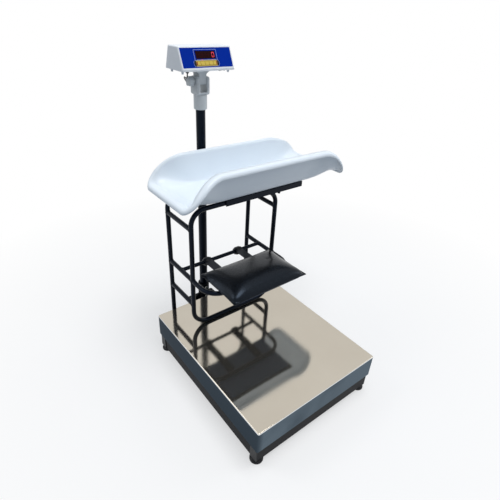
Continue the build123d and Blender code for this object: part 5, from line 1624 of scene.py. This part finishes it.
@dataclass
class HingeBarrels:
    """The round knuckles that turn on the hinge bar, one on each seat arm."""

    radius: float = 15 * MM
    half_width: float = 9 * MM
    play: float = 0.4 * MM
    edge: float = 1.5 * MM
    edge_points: int = 5
    sides: int = 48
    arm_width: float = 30 * MM

    def profile(self, bore: float) -> np.ndarray:
        """The closed outline that is turned round the bar.

        It runs up the flat end, round a quarter circle at the outer edge, and is
        mirrored to the other end.

        Args:
            bore: The hole's radius in metres.

        Returns:
            Places along the bar and radii, one row each.
        """
        bend = np.linspace(0, math.pi / 2, self.edge_points)[::-1]
        along = self.half_width - self.edge * (1 - np.sin(bend))
        out = self.radius - self.edge * (1 - np.cos(bend))
        start = np.array([(self.half_width, bore), (self.half_width, bore + self.edge)])
        right = np.concatenate([start, np.stack([along, out], axis=-1)])
        left = right[::-1] * np.array([-1, 1])
        return np.concatenate([right, left])

    def build(self) -> None:
        """Makes both knuckles as one piece that rides on the seat."""
        bar_low, bar_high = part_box("hinge_bar")
        arms_low, arms_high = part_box("seat_arms")
        _, bar_y, bar_z = middle_of("hinge_bar")
        outline = self.profile((bar_high.z - bar_low.z) / 2 + self.play)
        turn = circle(self.sides)
        reach = outline[:, 1:]
        faces = grid_faces(len(outline), self.sides, (True, True))
        knuckles = []
        for middle in (arms_low.x + self.arm_width / 2, arms_high.x - self.arm_width / 2):
            ring = np.stack([
                np.broadcast_to(middle + outline[:, :1], (len(outline), self.sides)),
                bar_y + reach * np.cos(turn),
                bar_z + reach * np.sin(turn),
            ], axis=-1)
            knuckles.append((ring.reshape(-1, 3), faces))
        piece = mesh_piece(
            "hinge_barrels", join(knuckles), Palette.black_plastic, Body.SEAT
        )


@dataclass
class DisplayFace:
    """The seven-segment digits, the overlay's frame lines and its strip with two lamps.

    Places on the face are given as right and up of the overlay's middle, in
    metres. A layer is the distance of its back from the face, and its thickness.
    """

    lean: float = math.radians(24.4)
    overlay_half: float = 0.25 * MM
    digits: int = 6
    bars: int = 7
    middle_bar: int = 6
    digit_height: float = 13.5 * MM
    digit_width: float = 7.2 * MM
    pitch: float = 10.6 * MM
    stroke: float = 1.3 * MM
    segment_gap: float = 0.15 * MM
    digit_layer: tuple[float, float] = (0.02 * MM, 0.08 * MM)
    film: float = 0.12 * MM
    least_corner: float = 0.2 * MM
    corner_points: int = 7
    window_frame: tuple[float, float] = (80 * MM, 33 * MM)
    window_frame_drop: float = 1 * MM
    window_frame_line: float = 0.8 * MM
    window_frame_corner: float = 2 * MM
    key_frame: tuple[float, float] = (91 * MM, 18.6 * MM)
    key_frame_middle: tuple[float, float] = (-1 * MM, -16.5 * MM)
    key_frame_line: float = 0.6 * MM
    key_frame_corner: float = 7 * MM
    strip: tuple[float, float] = (68 * MM, 2.4 * MM)
    strip_corner: float = 1 * MM
    strip_drop: float = 14.7 * MM
    strip_layer: tuple[float, float] = (0.02 * MM, 0.05 * MM)
    lamp: tuple[float, float] = (3 * MM, 1.6 * MM)
    lamp_corner: float = 0.7 * MM
    lamp_places: tuple[float, ...] = (-15 * MM, 21 * MM)
    lamp_layer: tuple[float, float] = (0.09 * MM, 0.06 * MM)

    def __post_init__(self) -> None:
        """Finds the face's directions, its middle and where the window's middle lies on it."""
        self.right = np.array([1.0, 0.0, 0.0])
        self.up = np.array([0.0, math.sin(self.lean), math.cos(self.lean)])
        self.out = np.array([0.0, -math.cos(self.lean), math.sin(self.lean)])
        # The overlay is a thin leaning sheet, so its face lies half its thickness out
        self.face = middle_of("overlay") + self.out * self.overlay_half
        to_window = middle_of("display_window") - self.face
        self.window_x = float(to_window[0])
        self.window_up = float(to_window @ self.up)

    def on_face(self, places: np.ndarray, height: float) -> np.ndarray:
        """Puts places on the face into the room, at a height over it."""
        flat = self.face + places[:, :1] * self.right + places[:, 1:] * self.up
        return flat + height * self.out

    def slab(self, outline: np.ndarray, base: float, height: float) -> Shape:
        """A thin flat piece on the face, with each cap a fan of triangles round its middle.

        Args:
            outline: Corner places on the face.
            base: Distance of its back from the face.
            height: Its thickness.

        Returns:
            Its points and its three-sided faces.
        """
        back = self.on_face(outline, base)
        front = self.on_face(outline, base + height)
        points = np.concatenate([
            back, front, back.mean(axis=0, keepdims=True), front.mean(axis=0, keepdims=True)
        ])
        count = len(outline)
        here = np.arange(count)
        after = (here + 1) % count
        corners = (
            (here, after, after + count),
            (here, after + count, here + count),
            (here + count, after + count, np.full(count, 2 * count + 1)),
            (after, here, np.full(count, 2 * count)),
        )
        return points, np.concatenate([np.stack(rows, axis=-1) for rows in corners])

    def frame_ring(
        self, centre: tuple[float, float], size: tuple[float, float], line: float, corner: float
    ) -> Shape:
        """A thin closed frame line with rounded corners, drawn on the overlay.

        Args:
            centre: Its middle on the face.
            size: Its outer width and height.
            line: The width of the line.
            corner: The radius of its outer corners.

        Returns:
            Its points and faces.
        """
        inner_size = (size[0] - 2 * line, size[1] - 2 * line)
        outer = self.rounded(centre, size, corner)
        inner = self.rounded(centre, inner_size, max(corner - line, self.least_corner))
        section = ((outer, 0.0), (outer, self.film), (inner, self.film), (inner, 0.0))
        rings = [self.on_face(loop, height) for loop, height in section]
        return np.concatenate(rings), grid_faces(len(rings), len(outer), (True, True))

    def rounded(
        self, centre: tuple[float, float], size: tuple[float, float], corner: float
    ) -> np.ndarray:
        """A rectangle with a quarter circle at each corner, anticlockwise.

        Args:
            centre: Its middle on the face.
            size: Its width and height.
            corner: The radius of its corners.

        Returns:
            Places on the face.
        """
        quarter = np.linspace(0, math.pi / 2, self.corner_points)
        loops = []
        for index, (sx, sy) in enumerate(((1, 1), (-1, 1), (-1, -1), (1, -1))):
            angle = quarter + index * math.pi / 2
            loops.append(np.stack([
                centre[0] + sx * (size[0] / 2 - corner) + corner * np.cos(angle),
                centre[1] + sy * (size[1] / 2 - corner) + corner * np.sin(angle),
            ], axis=-1))
        return np.concatenate(loops)

    def segment(self, index: int) -> np.ndarray:
        """The outline of one of a digit's seven bars, a long hexagon.

        Args:
            index: The bar's number, clockwise from the top, with the middle bar last.

        Returns:
            Corner places right and up of the digit's middle.
        """
        level = index in (0, 3, self.middle_bar)
        half_w = self.digit_width / 2
        half_h = self.digit_height / 2
        half = (self.digit_width if level else half_h) / 2 - self.segment_gap
        thick = self.stroke / 2
        bar = np.array([
            (-half, 0), (-half + thick, -thick), (half - thick, -thick),
            (half, 0), (half - thick, thick), (-half + thick, thick),
        ])
        if not level:
            bar = bar[:, ::-1] * np.array([-1, 1])
        spots = (
            (0, half_h), (half_w, half_h / 2), (half_w, -half_h / 2), (0, -half_h),
            (-half_w, -half_h / 2), (-half_w, half_h / 2), (0, 0),
        )
        return bar + np.array(spots[index])

    def build(self) -> None:
        """Makes the digits, the frame lines, and the strip with its lamps."""
        self.add_digits()
        window_frame = self.frame_ring(
            (self.window_x, self.window_up - self.window_frame_drop),
            self.window_frame, self.window_frame_line, self.window_frame_corner,
        )
        key_x, key_up = self.key_frame_middle
        key_frame = self.frame_ring(
            (self.window_x + key_x, key_up),
            self.key_frame, self.key_frame_line, self.key_frame_corner,
        )
        self.piece(
            "overlay_frame_lines", [window_frame, key_frame],
            Palette.pale_print, "overlay_blue",
        )
        strip_up = self.window_up - self.strip_drop
        strip = self.rounded((self.window_x, strip_up), self.strip, self.strip_corner)
        self.piece(
            "status_strip", [self.slab(strip, *self.strip_layer)],
            Palette.grey_print, "overlay_blue",
        )
        lamps = [
            self.slab(
                self.rounded((self.window_x + place, strip_up), self.lamp, self.lamp_corner),
                *self.lamp_layer,
            )
            for place in self.lamp_places
        ]
        self.piece("status_lamps", lamps, Palette.lit_segment, "window_red")

    def add_digits(self) -> None:
        """Makes the digits, all dark but the last one, which shows a nought."""
        dark = []
        lit = []
        for number in range(self.digits):
            x = self.window_x + (number - (self.digits - 1) / 2) * self.pitch
            last = number == self.digits - 1
            for index in range(self.bars):
                outline = self.segment(index) + np.array([x, self.window_up])
                part = self.slab(outline, *self.digit_layer)
                (lit if last and index != self.middle_bar else dark).append(part)
        self.piece("display_digits_unlit", dark, Palette.dark_segment, "window_red")
        self.piece("display_digit_lit", lit, Palette.lit_segment, "window_red")

    def piece(self, name: str, parts: Sequence[Shape], finish: Finish, slot: str) -> None:
        """Joins some shapes to one piece that rides on the head."""
        mesh_piece(name, join(parts), finish, Body.HEAD, smooth=False)


def main() -> None:
    """Builds the studio, dresses the frame and adds every new piece."""
    logging.basicConfig(level=logging.INFO, format="%(message)s")
    Studio().build()
    dress_frame()
    HeadLead().build()
    SeatPad().build()
    InfantTray().build()
    Welds().build()
    HingeBarrels().build()
    DisplayFace().build()


if __name__ == "__main__":
    main()
